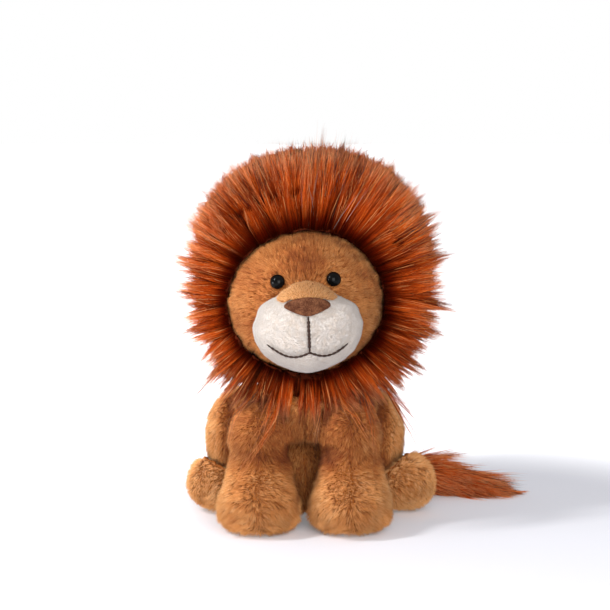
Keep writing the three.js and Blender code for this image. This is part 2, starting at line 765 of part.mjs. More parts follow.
const smileHeights = [
  ...smileDipShares.map((share) => smileMiddle - smileDip * share),
  ...smileRiseShares.map((share) => smileMiddle + smileRise * share),
];
const halfSmile = smileAcrossShares.map((share, i) => [share * smileHalfWidth, smileHeights[i]]);
const smile = [
  ...halfSmile.slice(1).reverse().map(([x, z]) => [headShift - x, z]),
  ...halfSmile.map(([x, z]) => [headShift + x, z]),
];
add(headParts, 'smile_stitch', stitch(smile), thread);
const lipTop = noseBottom - gap;
const lipBottom = smileMiddle + 2 * stitchRadius + gap;
const lip = lipShares.map((share) => [headShift, lipTop + (lipBottom - lipTop) * share]);
add(headParts, 'lip_stitch', stitch(lip), thread);

// Mane: a full round form, hollowed by the head, open at the face and free underneath
const maneHalf = new THREE.Vector3(maneHalfWidth, (maneFront + maneBack) / 2, maneHalfHeight);
const maneCentre = new THREE.Vector3(maneShift, (maneBack - maneFront) / 2, maneMiddle);
const maneRowCount = maneSideCount / 2;

// Every second point of the form stands out as the tip of a lock and the rest lie between
// them; the locks shrink to nothing in the middle of the back
function lockSwell(column, row) {
  const fade = Math.sin((Math.PI * row) / maneRowCount);
  const height = (column + row) % 2 ? -maneLockDepth : maneLockTop;
  return 1 + (fade * height) / maneHalfWidth;
}

const flare = Math.tan(THREE.MathUtils.degToRad(maneFlare));
const faceSpace = turned(
  [
    [0, faceRimAhead],
    [faceRimRadius, faceRimAhead],
    [faceRimRadius + widest, faceRimAhead + widest * flare],
    [faceRimRadius + widest, widest + overrun],
    [0, widest + overrun],
  ],
  bodySideCount,
  new THREE.Matrix4().makeRotationX(Math.PI / 2).setPosition(headShift, 0, headMiddle),
);
const maneFall = widest * Math.tan(THREE.MathUtils.degToRad(maneSlope));
const underMane = turned(
  [[0, -overrun], [widest, -overrun], [widest, -maneFall], [0, 0]],
  bodySideCount,
  new THREE.Matrix4().setPosition(neck),
);
const mane = solid(
  egg(maneHalf, maneFullness, maneSideCount, maneRowCount, 0, maneDroopShare, lockSwell)
    .translate(maneCentre.x, maneCentre.y, maneCentre.z),
)
  .subtract(headForm(gap))
  .subtract(muzzleForm(gap))
  .subtract(faceSpace)
  .subtract(underMane)
  .subtract(ball(neck, neckRadius + socketGap, bodySideCount));

// A wedge of the ring between two directions from the middle of the head
function wedge(from, to) {
  const a = THREE.MathUtils.degToRad(from);
  const b = THREE.MathUtils.degToRad(to);
  const middle = (a + b) / 2;
  const reach = 2 * widest;
  const start = gap / 2 / Math.sin((b - a) / 2);
  const x = headShift + start * Math.cos(middle);
  const z = headMiddle + start * Math.sin(middle);
  const shape = new THREE.Shape();
  shape.moveTo(x, z);
  for (const angle of [a, middle, b]) {
    shape.lineTo(x + reach * Math.cos(angle), z + reach * Math.sin(angle));
  }
  return pushed(shape, toX, toZ, toFront, -maneBackSeam + gap / 2, 2 * widest);
}

['right', 'crown', 'left', 'bib'].forEach((name, i) => {
  const from = maneSeamTurns[i];
  const to = i < 3 ? maneSeamTurns[i + 1] : maneSeamTurns[0] + 360;
  add(headParts, 'mane_' + name, mane.intersect(wedge(from, to)), longFur);
});
const behindSeam = box(-2 * widest, 2 * widest, maneBackSeam + gap / 2, 2 * widest, 0, 4 * widest);
add(headParts, 'mane_back', mane.intersect(behindSeam), longFur);

export default lion;
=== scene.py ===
import json
import math

import bmesh
import bpy
import numpy as np
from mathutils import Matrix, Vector
from mathutils.bvhtree import BVHTree


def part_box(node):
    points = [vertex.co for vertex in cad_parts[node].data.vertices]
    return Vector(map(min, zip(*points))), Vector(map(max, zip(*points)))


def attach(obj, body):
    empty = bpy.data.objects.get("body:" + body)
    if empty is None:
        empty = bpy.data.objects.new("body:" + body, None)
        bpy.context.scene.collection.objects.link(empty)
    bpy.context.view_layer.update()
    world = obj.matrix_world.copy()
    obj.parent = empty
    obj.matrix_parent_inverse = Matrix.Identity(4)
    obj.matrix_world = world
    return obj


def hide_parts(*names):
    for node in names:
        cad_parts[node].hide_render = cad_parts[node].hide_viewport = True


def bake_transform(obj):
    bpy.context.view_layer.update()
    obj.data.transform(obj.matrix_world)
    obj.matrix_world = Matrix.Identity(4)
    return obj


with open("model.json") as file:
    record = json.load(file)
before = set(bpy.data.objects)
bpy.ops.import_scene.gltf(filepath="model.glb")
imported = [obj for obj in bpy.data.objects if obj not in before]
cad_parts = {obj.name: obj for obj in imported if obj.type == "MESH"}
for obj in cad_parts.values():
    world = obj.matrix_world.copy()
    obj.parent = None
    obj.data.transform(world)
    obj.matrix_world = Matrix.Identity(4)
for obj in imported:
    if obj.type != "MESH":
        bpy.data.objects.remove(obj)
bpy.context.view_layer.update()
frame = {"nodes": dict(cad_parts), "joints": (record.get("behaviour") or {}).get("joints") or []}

# Camera
# A long lens looks square on from a little above the lion's chin, about one and a third metres
# away, so that the toy stands in the square picture as it does in the photograph.
mm = 0.001
view_distance = 1350 * mm
view_height = 150 * mm  # the point that the lens aims at, above the floor
view_rise = math.radians(8.5)
view_width = 427 * mm  # what the picture takes in at that distance
sensor_width = 36.0


def placed(name, data):
    """An object of a mesh, camera or lamp, put in the scene."""
    made = bpy.data.objects.new(name, data)
    bpy.context.scene.collection.objects.link(made)
    return made


camera = placed("camera", bpy.data.cameras.new("camera"))
camera.data.sensor_width = sensor_width
camera.data.lens = sensor_width * view_distance / view_width
camera.location = (
    0,
    -view_distance * math.cos(view_rise),
    view_height + view_distance * math.sin(view_rise),
)
camera.rotation_euler = (math.pi / 2 - view_rise, 0, 0)
bpy.context.scene.camera = camera
bpy.context.scene.view_settings.view_transform = "Standard"


# Studio
# White paper between pale walls, lit by a tall lamp high on the left, a square one low on the
# left and a large soft one in front. The toy's soft shadow on the paper falls to the right.
def linear(code):
    """A colour written as an sRGB hex value, as the linear numbers that a shader takes."""
    parts = [int(code[i : i + 2], 16) / 255 for i in (1, 3, 5)]
    return (*[c / 12.92 if c <= 0.04045 else ((c + 0.055) / 1.055) ** 2.4 for c in parts], 1)


def node(tree, kind, inputs=None, stops=None, **settings):
    """Adds one shader node with its settings, its colour stops and its values or links."""
    made = tree.nodes.new("ShaderNode" + kind)
    for name, value in settings.items():
        setattr(made, name, value)
    for name, value in (inputs or {}).items():
        if isinstance(value, bpy.types.Node):
            value = value.outputs[0]
        if isinstance(value, bpy.types.NodeSocket):
            tree.links.new(value, made.inputs[name])
        else:
            made.inputs[name].default_value = value
    for i, (place, code) in enumerate(stops or ()):
        steps = made.color_ramp.elements
        step = steps[i] if i < 2 else steps.new(place)
        step.position = place
        step.color = linear(code)
    return made


def new_material(name):
    """A material and its empty node tree."""
    made = bpy.data.materials.new(name)
    made.use_nodes = True
    made.node_tree.nodes.clear()
    return made, made.node_tree


def seen_directly(tree):
    """1 on the rays that show the surroundings as they are, seen straight, mirrored or through glass."""
    rays = node(tree, "LightPath").outputs
    seen = node(tree, "Math", {0: rays["Is Camera Ray"], 1: rays["Is Glossy Ray"]}, operation="ADD")
    return node(tree, "Math", {0: seen, 1: rays["Is Transmission Ray"]}, operation="ADD", use_clamp=True)


# Painted light: the paper glows for the camera, white away from the toy and dimmest round the spot where its
# shadow falls
paper_reach = 4000 * mm
paper_glow = 0.12  # what the camera sees of the paper beside its lit colour
glow_middle = (110 * mm, -30 * mm, 0)  # the shaded spot of the paper
glow_near, glow_far = 150 * mm, 340 * mm  # where the paper starts to glow and where it is white
paper_mesh = bpy.data.meshes.new("paper_sweep")
paper_corners = [(x * paper_reach, y * paper_reach, 0) for x, y in ((-1, -1), (1, -1), (1, 1), (-1, 1))]
paper_mesh.from_pydata(paper_corners, [], [(0, 1, 2, 3)])
paper = placed("paper_sweep", paper_mesh)
paper_material, tree = new_material("white_studio_paper")
seen = seen_directly(tree)
place = node(tree, "TexCoord").outputs["Object"]
away = node(tree, "VectorMath", {0: place, 1: glow_middle}, operation="DISTANCE").outputs["Value"]
spread = node(
    tree,
    "MapRange",
    {"Value": away, "From Min": glow_near, "From Max": glow_far, "To Min": paper_glow, "To Max": 1.0},
    interpolation_type="SMOOTHSTEP",
)
glow = node(tree, "Math", {0: seen, 1: spread}, operation="MULTIPLY")
coated = node(tree, "BsdfPrincipled", {"Base Color": linear("#e9e9ee"), "Roughness": 0.9})
paper_glow_emission = node(tree, "Emission", {"Color": linear("#ffffff"), "Strength": glow})
both = node(tree, "AddShader", {0: coated, 1: paper_glow_emission})
node(tree, "OutputMaterial", {"Surface": both})
paper_mesh.materials.append(paper_material)

world = bpy.data.worlds.new("pale_walls")
world.use_nodes = True
world.node_tree.nodes.clear()
tree = world.node_tree
wall_light = 0.44
walls = node(tree, "Background", {"Color": linear("#f4f6ff"), "Strength": wall_light})
white = node(tree, "Background", {"Color": linear("#ffffff"), "Strength": 1.0})
mixed = node(tree, "MixShader", {0: seen_directly(tree), 1: walls, 2: white})
node(tree, "OutputWorld", {"Surface": mixed})
bpy.context.scene.world = world

# name, place and sides in millimetres and watts of each lamp, all aimed at the lion's chest
lamp_aim = Vector((0, 0, 120)) * mm
for name, place, wide, tall, watts in [
    ("window_lamp", (-950, -520, 1000), 120, 440, 11.5),
    ("low_lamp", (-1120, -360, 110), 300, 300, 8),
    ("front_lamp", (250, -1500, 560), 900, 900, 20.5),
]:
    lamp = placed(name, bpy.data.lights.new(name, "AREA"))
    lamp.data.shape = "RECTANGLE"
    lamp.data.size = wide * mm
    lamp.data.size_y = tall * mm
    lamp.data.energy = watts
    lamp.location = Vector(place) * mm
    lamp.rotation_euler = (lamp_aim - lamp.location).to_track_quat("-Z", "Y").to_euler()


# Filling
# Loose white polyester fibre packs the body, neck, legs and head, and a small cloth bag of
# plastic pellets in the seat keeps the toy upright. Skins close over all of it.
def applied(piece):
    """The piece with its modifiers worked into its mesh."""
    shape = bpy.data.meshes.new_from_object(piece.evaluated_get(bpy.context.evaluated_depsgraph_get()))
    piece.modifiers.clear()
    piece.data = shape
    shape.shade_smooth()
    return piece


def eased(name, nodes, cell, rounds, inset=0.0, lump=0.0, lump_size=12 * mm):
    """A closed mesh round the CAD nodes: remeshed in small cells, eased, drawn in and made lumpy."""
    corners, faces = [], []
    for node_name in nodes:
        data = frame["nodes"][node_name].data
        faces += [[len(corners) + i for i in face.vertices] for face in data.polygons]
        corners += [v.co.copy() for v in data.vertices]
    shape = bpy.data.meshes.new(name)
    shape.from_pydata(corners, [], faces)
    piece = placed(name, shape)
    remesh = piece.modifiers.new("remesh", "REMESH")
    remesh.mode = "VOXEL"
    remesh.voxel_size = cell
    ease = piece.modifiers.new("ease", "SMOOTH")
    ease.iterations = rounds
    if inset:
        draw_in = piece.modifiers.new("draw_in", "DISPLACE")
        draw_in.strength = -inset
        draw_in.mid_level = 0
    if lump:
        clouds = bpy.data.textures.new(name, "CLOUDS")
        clouds.noise_scale = lump_size
        lumps = piece.modifiers.new("lumps", "DISPLACE")
        lumps.texture = clouds
        lumps.strength = lump
        lumps.mid_level = 0.5
    return applied(piece)


def dress(piece, material, body, slot, *stands_for):
    """Gives a piece its material, body and the CAD nodes that it stands for; the slot is not used."""
    piece.data.materials.clear()
    piece.data.materials.append(material)
    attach(piece, body)
    if stands_for:
        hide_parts(*stands_for)


# polyester fibre filling: a soft white mass of fine curled fibres, matt, with faint shadows
fibre_filling, tree = new_material("polyester_fibre_filling")
place = node(tree, "TexCoord").outputs["Object"]
fibres = node(tree, "TexNoise", {"Vector": place, "Scale": 1 / (3 * mm), "Detail": 6, "Distortion": 2})
tint = node(tree, "ValToRGB", {"Fac": fibres}, [(0.3, "#d9d7d2"), (0.7, "#f6f5f2")])
relief = node(tree, "Bump", {"Height": fibres, "Strength": 0.7, "Distance": 0.6 * mm})
coat = node(tree, "BsdfPrincipled", {"Base Color": tint, "Roughness": 0.95, "Normal": relief})
node(tree, "OutputMaterial", {"Surface": coat})

# spunbonded bag cloth: thin, dull, off-white, pressed with a fine grid
bag_cloth, tree = new_material("spunbonded_bag_cloth")
place = node(tree, "TexCoord").outputs["Object"]
grid = node(tree, "TexVoronoi", {"Vector": place, "Scale": 1 / (1.5 * mm), "Randomness": 0.15})
tint = node(tree, "ValToRGB", {"Fac": grid}, [(0.1, "#b8b1a2"), (0.5, "#dcd6ca")])
relief = node(tree, "Bump", {"Height": grid, "Strength": 0.4, "Distance": 0.2 * mm})
coat = node(tree, "BsdfPrincipled", {"Base Color": tint, "Roughness": 0.8, "Normal": relief})
node(tree, "OutputMaterial", {"Surface": coat})

# CAD node of each wad, its body, and how far it lies inside the solid, which leaves the cloth room
filling_cell = 4 * mm
filling_lump = 1.2 * mm
for solid, body, inset in [
    ("body_stuffing", "body", 5 * mm),
    ("neck_stuffing", "neck", 5.4 * mm),
    ("front_leg_stuffing_left", "front_leg_left", 5 * mm),
    ("front_leg_stuffing_right", "front_leg_right", 5 * mm),
    ("haunch_stuffing_left", "hind_leg_left", 3.5 * mm),
    ("haunch_stuffing_right", "hind_leg_right", 3.5 * mm),
    ("foot_stuffing_left", "hind_leg_left", 3 * mm),
    ("foot_stuffing_right", "hind_leg_right", 3 * mm),
    ("head_stuffing", "head", 2.5 * mm),
    ("muzzle_stuffing", "head", 0.8 * mm),
]:
    wad = eased(solid.replace("stuffing", "filling"), [solid], filling_cell, 2, inset, filling_lump)
    dress(wad, fibre_filling, body, "stuffing", solid)
bag_inset, bag_lump_size = 0.4 * mm, 7 * mm
bag = eased("pellet_bag_cloth", ["pellet_bag"], 2 * mm, 3, bag_inset, filling_lump, bag_lump_size)
dress(bag, bag_cloth, "body", "bag_cloth", "pellet_bag")


# Body
# A leaning bag of tan plush, knitted backing with a short pile that lies down the back and
# chest, sewn shut round the filling; the legs, haunches, tail and head are sewn over it.
def solid_of(name, *nodes):
    """Box and search tree of a closed solid round some CAD nodes, for keeping the pile clear."""
    shape = eased(name, nodes, 2 * mm, 2)
    corners = [v.co.copy() for v in shape.data.vertices]
    tree = BVHTree.FromPolygons(corners, [tuple(face.vertices) for face in shape.data.polygons])
    bpy.data.objects.remove(shape)
    return np.min(corners, 0), np.max(corners, 0), tree


def rows(elements, attribute, kind=float):
    """Three numbers of each element of a mesh, as rows."""
    values = np.empty(len(elements) * 3, kind)
    elements.foreach_get(attribute, values)
    return values.reshape(-1, 3)


def form_of(shape):
    """Search tree of a mesh, and its corners and normals as rows."""
    corners, normals = rows(shape.vertices, "co"), rows(shape.vertex_normals, "vector")
    tree = BVHTree.FromPolygons(corners.tolist(), [tuple(face.vertices) for face in shape.polygons])
    return tree, corners, normals


def reshaped(piece, corners):
    """Gives the corners of a piece their new places."""
    piece.data.vertices.foreach_set("co", corners.reshape(-1))
    piece.data.update()


def outside(points, solids, margin=0.3 * mm):
    """Which points lie clear of all the solids."""
    clear = np.ones(len(points), bool)
    for low, high, tree in solids:
        near = clear & ((points > low - margin) & (points < high + margin)).all(1)
        for i in np.flatnonzero(near):
            point = Vector(points[i])
            place, normal, _, _ = tree.find_nearest(point)
            clear[i] = (point - place).dot(normal) > margin
    return clear


def laid_over(lines, solids, margin):
    """Hairs with the points that would pass into a solid laid on it instead."""
    lines = lines.copy()
    for low, high, tree in solids:
        near = ((lines > low - margin) & (lines < high + margin)).all(2)
        near[:, 0] = False
        for i, step in np.argwhere(near):
            point = Vector(lines[i, step])
            place, normal, _, _ = tree.find_nearest(point)
            if (point - place).dot(normal) < margin:
                lines[i, step] = place + normal * margin
    return lines


def unit(ways):
    """The same ways, each one long."""
    return ways / np.maximum(np.linalg.norm(ways, axis=-1, keepdims=True), 1e-12)


def roots_on(shape, per_square_mm, seed, evened=0):
    """Evenly scattered points on a mesh, with its normals there, evened over that many rounds."""
    shape.calc_loop_triangles()
    corners, normals = rows(shape.vertices, "co"), rows(shape.vertex_normals, "vector")
    faces = rows(shape.loop_triangles, "vertices", np.int32)
    for _ in range(evened):
        total = normals.copy()
        for i in range(3):
            np.add.at(total, faces[:, i], normals[faces[:, i - 1]])
        normals = unit(total)
    a, b, c = (corners[faces[:, i]] for i in range(3))
    areas = np.linalg.norm(np.cross(b - a, c - a), axis=1) / 2
    chance = np.random.default_rng(seed)
    count = int(areas.sum() / mm**2 * per_square_mm)
    pick = faces[chance.choice(len(faces), count, p=areas / areas.sum())]
    far, along = np.sqrt(chance.random(count)), chance.random(count)
    share = np.stack([1 - far, far * (1 - along), far * along], axis=1)[:, :, None]
    return (corners[pick] * share).sum(1), unit((normals[pick] * share).sum(1))


def drift(points, size, seed):
    """A smooth random number from -1 to 1 at each point, changing over about one size."""
    chance = np.random.default_rng(seed)
    waves = chance.normal(size=(6, 3)) * 2 / size
    starts = chance.random(6) * 2 * math.pi
    return np.sin(points @ waves.T + starts).sum(1) / 3


def strands(name, lines, widths, shades):
    """Closed three-sided hairs along rows of points; their map runs root to tip and dark to light."""
    count, steps = lines.shape[:2]
    way = unit(lines[:, -1] - lines[:, 0])
    side = unit(np.cross(way, (0.31, 0.52, 0.79)))
    turns = np.arange(3) * 2 * math.pi / 3
    front = np.cross(way, side)
    around = side[:, None] * np.cos(turns)[:, None] + front[:, None] * np.sin(turns)[:, None]
    along = np.linspace(0, 1, steps)[:-1]
    radii = widths[:, None] / 2 * (1 - 0.6 * along)
    rings = lines[:, :-1, None] + around[:, None] * radii[:, :, None, None]
    points = np.concatenate([rings.reshape(count, -1, 3), lines[:, -1:]], axis=1)
    tip = 3 * (steps - 1)
    pattern = [(0, 2, 1)]
    for low in range(0, tip - 3, 3):
        for i in range(3):
            j = (i + 1) % 3
            pattern += [(low + i, low + j, low + j + 3), (low + i, low + j + 3, low + i + 3)]
    pattern += [(tip - 3 + i, tip - 3 + (i + 1) % 3, tip) for i in range(3)]
    faces = (np.array(pattern)[None] + np.arange(count)[:, None, None] * (tip + 1)).reshape(-1)
    spots = np.empty((count, tip + 1, 2))
    spots[:, :tip, 0] = np.repeat(along, 3)
    spots[:, 1, 0] = 0.03
    spots[:, tip, 0] = 1
    spots[:, :tip, 1] = shades[:, None] + np.tile([-0.012, 0, 0.012], steps - 1)
    spots[:, tip, 1] = shades
    shape = bpy.data.meshes.new(name)
    shape.vertices.add(count * (tip + 1))
    shape.vertices.foreach_set("co", points.reshape(-1))
    shape.loops.add(len(faces))
    shape.loops.foreach_set("vertex_index", faces)
    shape.polygons.add(len(faces) // 3)
    shape.polygons.foreach_set("loop_start", np.arange(0, len(faces), 3))
    shape.update(calc_edges=True)
    shape.uv_layers.new(name="OFBake").data.foreach_set("uv", spots.reshape(-1, 2)[faces].reshape(-1))
    shape.shade_smooth()
    return placed(name, shape)


def gathered(roots, tips, spacing, pull, seed):
    """Tips drawn together into tufts, each round one of the tips, about one spacing apart."""
    chance = np.random.default_rng(seed)
    warp = np.stack([drift(roots, 9 * mm, seed + i) for i in range(3)], axis=1) * spacing / 2
    cells = np.floor((roots + warp) / spacing).astype(np.int64)
    _, first, which = np.unique(cells, axis=0, return_index=True, return_inverse=True)
    which = which.reshape(-1)
    leaders = first[which]
    strength = (pull * (0.6 + 0.8 * chance.random(len(first))))[which][:, None]
    tone = chance.normal(size=len(first))[which]
    return tips + (tips[leaders] - tips) * np.clip(strength, 0, 1), tone


pile_length = 5.8 * mm  # along a fibre
pile_width = 0.36 * mm
pile_depth = 3.2 * mm  # from the outside of the skin's solid down to the backing, where there is room
pile_sunk = 0.4 * mm  # how far a fibre starts inside the backing
pile_tuft = 3 * mm  # from one tuft of leaning fibres to the next
backing_thickness = 0.8 * mm
most_pile = 48000  # fibres in one piece
darkest, palest = 0.03, 0.97  # the ends of the shades that a fibre may have
floor_gap = 0.3 * mm  # between the fibres' tips and the floor


def through(corners, normals, tree):
    """How thick a form is inwards from each of its corners."""
    thick = np.full(len(corners), 50 * mm)
    for i, (corner, normal) in enumerate(zip(map(Vector, corners), map(Vector, normals))):
        hit = tree.ray_cast(corner - normal * 0.05 * mm, -normal, 50 * mm)
        if hit[0] is not None:
            thick[i] = hit[3]
    return thick


def plush(
    name,
    nodes,
    body,
    flow,
    near,
    seed,
    density=3.4,  # fibres to a square millimetre
    length=pile_length,
    # painted light and shade added to the fibres' shades: a number, or a function of the roots and normals
    tone=0.0,
    cell=2 * mm,
    lift=0.7,  # radians off the cloth
    pressed_in=None,
    longer=None,
    only=None,
):
    """A sewn plush part: its hollow knitted backing and the pile on it, combed as flow says."""
    backing = eased(name + "_backing", nodes, cell, rounds=4, lump=0.8 * mm, lump_size=14 * mm)
    tree, corners, normals = form_of(backing.data)
    depth = np.minimum(pile_depth, 0.3 * through(corners, normals, tree))
    if pressed_in:
        depth += pressed_in(corners, normals)
    reshaped(backing, corners - normals * depth[:, None])
    roots, normals = roots_on(backing.data, density, seed)
    if only:
        wanted = only(roots)
        roots, normals = roots[wanted], normals[wanted]
    chance = np.random.default_rng(seed)
    count = len(roots)
    comb = flow(roots, normals)
    comb = unit(comb - normals * (comb * normals).sum(1, keepdims=True))
    cross = np.cross(normals, comb)
    swirl = 0.4 * drift(roots, 11 * mm, seed) + 0.25 * drift(roots, 4 * mm, seed + 1)
    swirl += chance.normal(0, 0.24, count)
    comb = comb * np.cos(swirl)[:, None] + cross * np.sin(swirl)[:, None]
    rise = lift + 0.16 * drift(roots, 6 * mm, seed + 2) + chance.normal(0, 0.12, count)
    reach = length * (0.8 + 0.4 * chance.random(count)) * (1 + 0.15 * drift(roots, 12 * mm, seed + 3))
    if longer:
        reach *= longer(roots, normals)
    tips = roots + (comb * np.cos(rise)[:, None] + normals * np.sin(rise)[:, None]) * reach[:, None]
    tips, tuft_tone = gathered(roots, tips, pile_tuft, 0.3, seed)
    tips[:, 2] = np.maximum(tips[:, 2], floor_gap)
    keep = outside(tips, near) & outside(roots, near) & (roots[:, 2] > 0.2 * mm)
    shades = 0.5 + 0.07 * drift(roots, 16 * mm, seed + 4) + 0.045 * tuft_tone + chance.normal(0, 0.1, count)
    # painted light and shade
    shades += tone(roots, normals) if callable(tone) else tone
    shades = np.clip(shades, darkest, palest)
    lines = np.stack([roots - normals * pile_sunk, tips], axis=1)
    widths = pile_width * (0.75 + 0.5 * chance.random(count))
    kept = np.flatnonzero(keep)
    for part, share in enumerate(np.array_split(kept, math.ceil(len(kept) / most_pile))):
        pile = strands(f"{name}_pile_{part + 1}", lines[share], widths[share], shades[share])
        dress(pile, plush_pile, body, "tan_plush")
    backing.modifiers.new("thickness", "SOLIDIFY").thickness = backing_thickness
    skins = [n for n in nodes if "stuffing" not in n and n != "pellet_bag"]
    dress(applied(backing), knitted_backing, body, "tan_plush", *skins)


# polyester plush pile: fine tan fibres, with painted shade that darkens them down at the backing, so they are
# paler at the cut tips
plush_pile, tree = new_material("polyester_plush_pile")
along = node(tree, "SeparateXYZ", {0: node(tree, "UVMap", uv_map="OFBake")}).outputs
tans = [(0.0, "#6b2f0a"), (0.3, "#a9581d"), (0.5, "#cf8440"), (0.75, "#e8a866"), (1.0, "#f8cc96")]
fibre_tint = node(tree, "ValToRGB", {"Fac": along["Y"]}, tans)
root_shade = node(tree, "ValToRGB", {"Fac": along["X"]}, [(0.0, "#b08a70"), (0.6, "#ffffff")])
tint = node(tree, "Mix", {0: 1.0, 6: fibre_tint, 7: root_shade}, data_type="RGBA", blend_type="MULTIPLY")
coat = node(tree, "BsdfPrincipled", {"Base Color": tint.outputs[2], "Roughness": 0.8})
node(tree, "OutputMaterial", {"Surface": coat})

# knitted backing: a jersey seen only between the pile, painted a darker, dull brown as the shade between the
# fibres, with loops a millimetre apart
knitted_backing, tree = new_material("knitted_backing")
place = node(tree, "TexCoord").outputs["Object"]
loops = node(tree, "TexVoronoi", {"Vector": place, "Scale": 1 / mm})
patches = node(tree, "TexNoise", {"Vector": place, "Scale": 1 / (12 * mm)})
tint = node(tree, "ValToRGB", {"Fac": patches}, [(0.35, "#8a4b1f"), (0.65, "#a9652f")])
relief = node(tree, "Bump", {"Height": loops, "Strength": 0.6, "Distance": 0.4 * mm})
dull = {"Roughness": 0.95, "Specular IOR Level": 0.1}
coat = node(tree, "BsdfPrincipled", {"Base Color": tint, "Normal": relief, **dull})
node(tree, "OutputMaterial", {"Surface": coat})

sides = ("left", "right")
leg_solids = {s: solid_of("leg", "front_leg_skin_" + s, "front_leg_stuffing_" + s) for s in sides}
haunch_solids = {s: solid_of("haunch", "haunch_skin_" + s, "haunch_stuffing_" + s) for s in sides}
foot_solids = {s: solid_of("foot", "foot_skin_" + s, "foot_stuffing_" + s) for s in sides}
body_solid = solid_of("body", "body_skin", "body_stuffing", "pellet_bag")
head_solid = solid_of("head", "head_skin", "head_stuffing")
muzzle_solid = solid_of("muzzle", "muzzle_skin", "muzzle_stuffing")
tail_solid = solid_of("tail", "tail_stem")
tuft_solid = solid_of("tuft", "tail_tuft")
patch_solid = solid_of("patch", "nose_bridge")


def down_the_body(points, normals):
    """The pile of the body is combed down, and a little outwards from its middle."""
    way = np.tile([0.0, 0.0, -1.0], (len(points), 1))
    way[:, 0] = 0.35 * np.sign(points[:, 0])
    return way


plush(
    "body",
    ["body_skin", "body_stuffing", "pellet_bag"],
    "body",
    down_the_body,
    [*leg_solids.values(), *haunch_solids.values(), head_solid, tail_solid],
    seed=11,
    density=2.6,
)
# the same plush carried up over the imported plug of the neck
plush(
    "neck",
    ["neck_stuffing"],
    "neck",
    down_the_body,
    [body_solid, head_solid],
    seed=15,
    density=2.6,
    length=4.5 * mm,
)


# Front legs
# Two plush tubes from a round shoulder to a flat paw, each cut in two halves whose seam runs
# down the front; the pile turns away from the seam and lies forward over the toes.
def pivot(joint_name):
    """The point that a joint turns about."""
    return np.array(next(joint for joint in frame["joints"] if joint["name"] == joint_name)["pos_m"])


for side in sides:
    seam_x = pivot("front_leg_" + side + "_swing")[0]

    def down_the_leg(points, normals):
        """Down and away from the front seam, then forward and outward over the paw."""
        off = points[:, 0] - seam_x
        paw = np.clip((34 * mm - points[:, 2]) / (20 * mm), 0, 1)
        way = np.zeros_like(points)
        way[:, 0] = np.tanh(off / (4 * mm)) * (0.4 + 0.5 * paw)
        way[:, 1] = -0.9 * paw
        way[:, 2] = -1 + 0.35 * paw
        return way

    def leg_painted_light_and_seam(points, normals):
        """Painted shade on the shaft, most inside, and painted light on the paw; darker down the front seam.
        """
        front = np.clip(-normals[:, 1] * 2 - 0.6, 0, 1)
        shaft = np.clip((points[:, 2] - 38 * mm) / (12 * mm), 0, 1)
        seam = np.exp(-(((points[:, 0] - seam_x) / (1.1 * mm)) ** 2)) * front * (0.2 + 0.8 * shaft)
        outer = np.clip((np.abs(points[:, 0]) - 46 * mm) / (8 * mm), 0, 1)
        inner = np.clip((30 * mm - np.abs(points[:, 0])) / (14 * mm), 0, 1)
        return 0.14 - shaft * (0.24 - 0.13 * outer + 0.14 * inner) - 0.14 * seam

    def paw_shape(corners, normals):
        """The shaft stands back over the paw, and the paw is round under the toes."""
        z = corners[:, 2] / mm
        front = np.clip(-normals[:, 1], 0, 1)
        ankle = 4.5 * front * np.exp(-(((z - 50) / 12) ** 2)) + 1.6 * np.exp(-(((z - 52) / 9) ** 2))
        toes = 5.0 * front * np.clip((15 - z) / 15, 0, 1) + 1.5 * np.clip((9 - z) / 9, 0, 1)
        return (ankle + toes - 1.2 * front * np.exp(-(((z - 26) / 8) ** 2))) * mm

    def paw_length(points, normals):
        """Longer pile on the paw, shorter under the toes."""
        high = points[:, 2] / mm
        return 1 + 0.35 * np.clip((34 - high) / 10, 0, 1) - 0.5 * np.clip((12 - high) / 10, 0, 1)

    others = [solid for name, solid in leg_solids.items() if name != side]
    plush(
        "front_leg_" + side,
        ["front_leg_skin_" + side, "front_leg_stuffing_" + side],
        "front_leg_" + side,
        down_the_leg,
        [body_solid, haunch_solids[side], foot_solids[side], head_solid, *others],
        seed=21 + sides.index(side),
        tone=leg_painted_light_and_seam,
        pressed_in=paw_shape,
        longer=paw_length,
    )
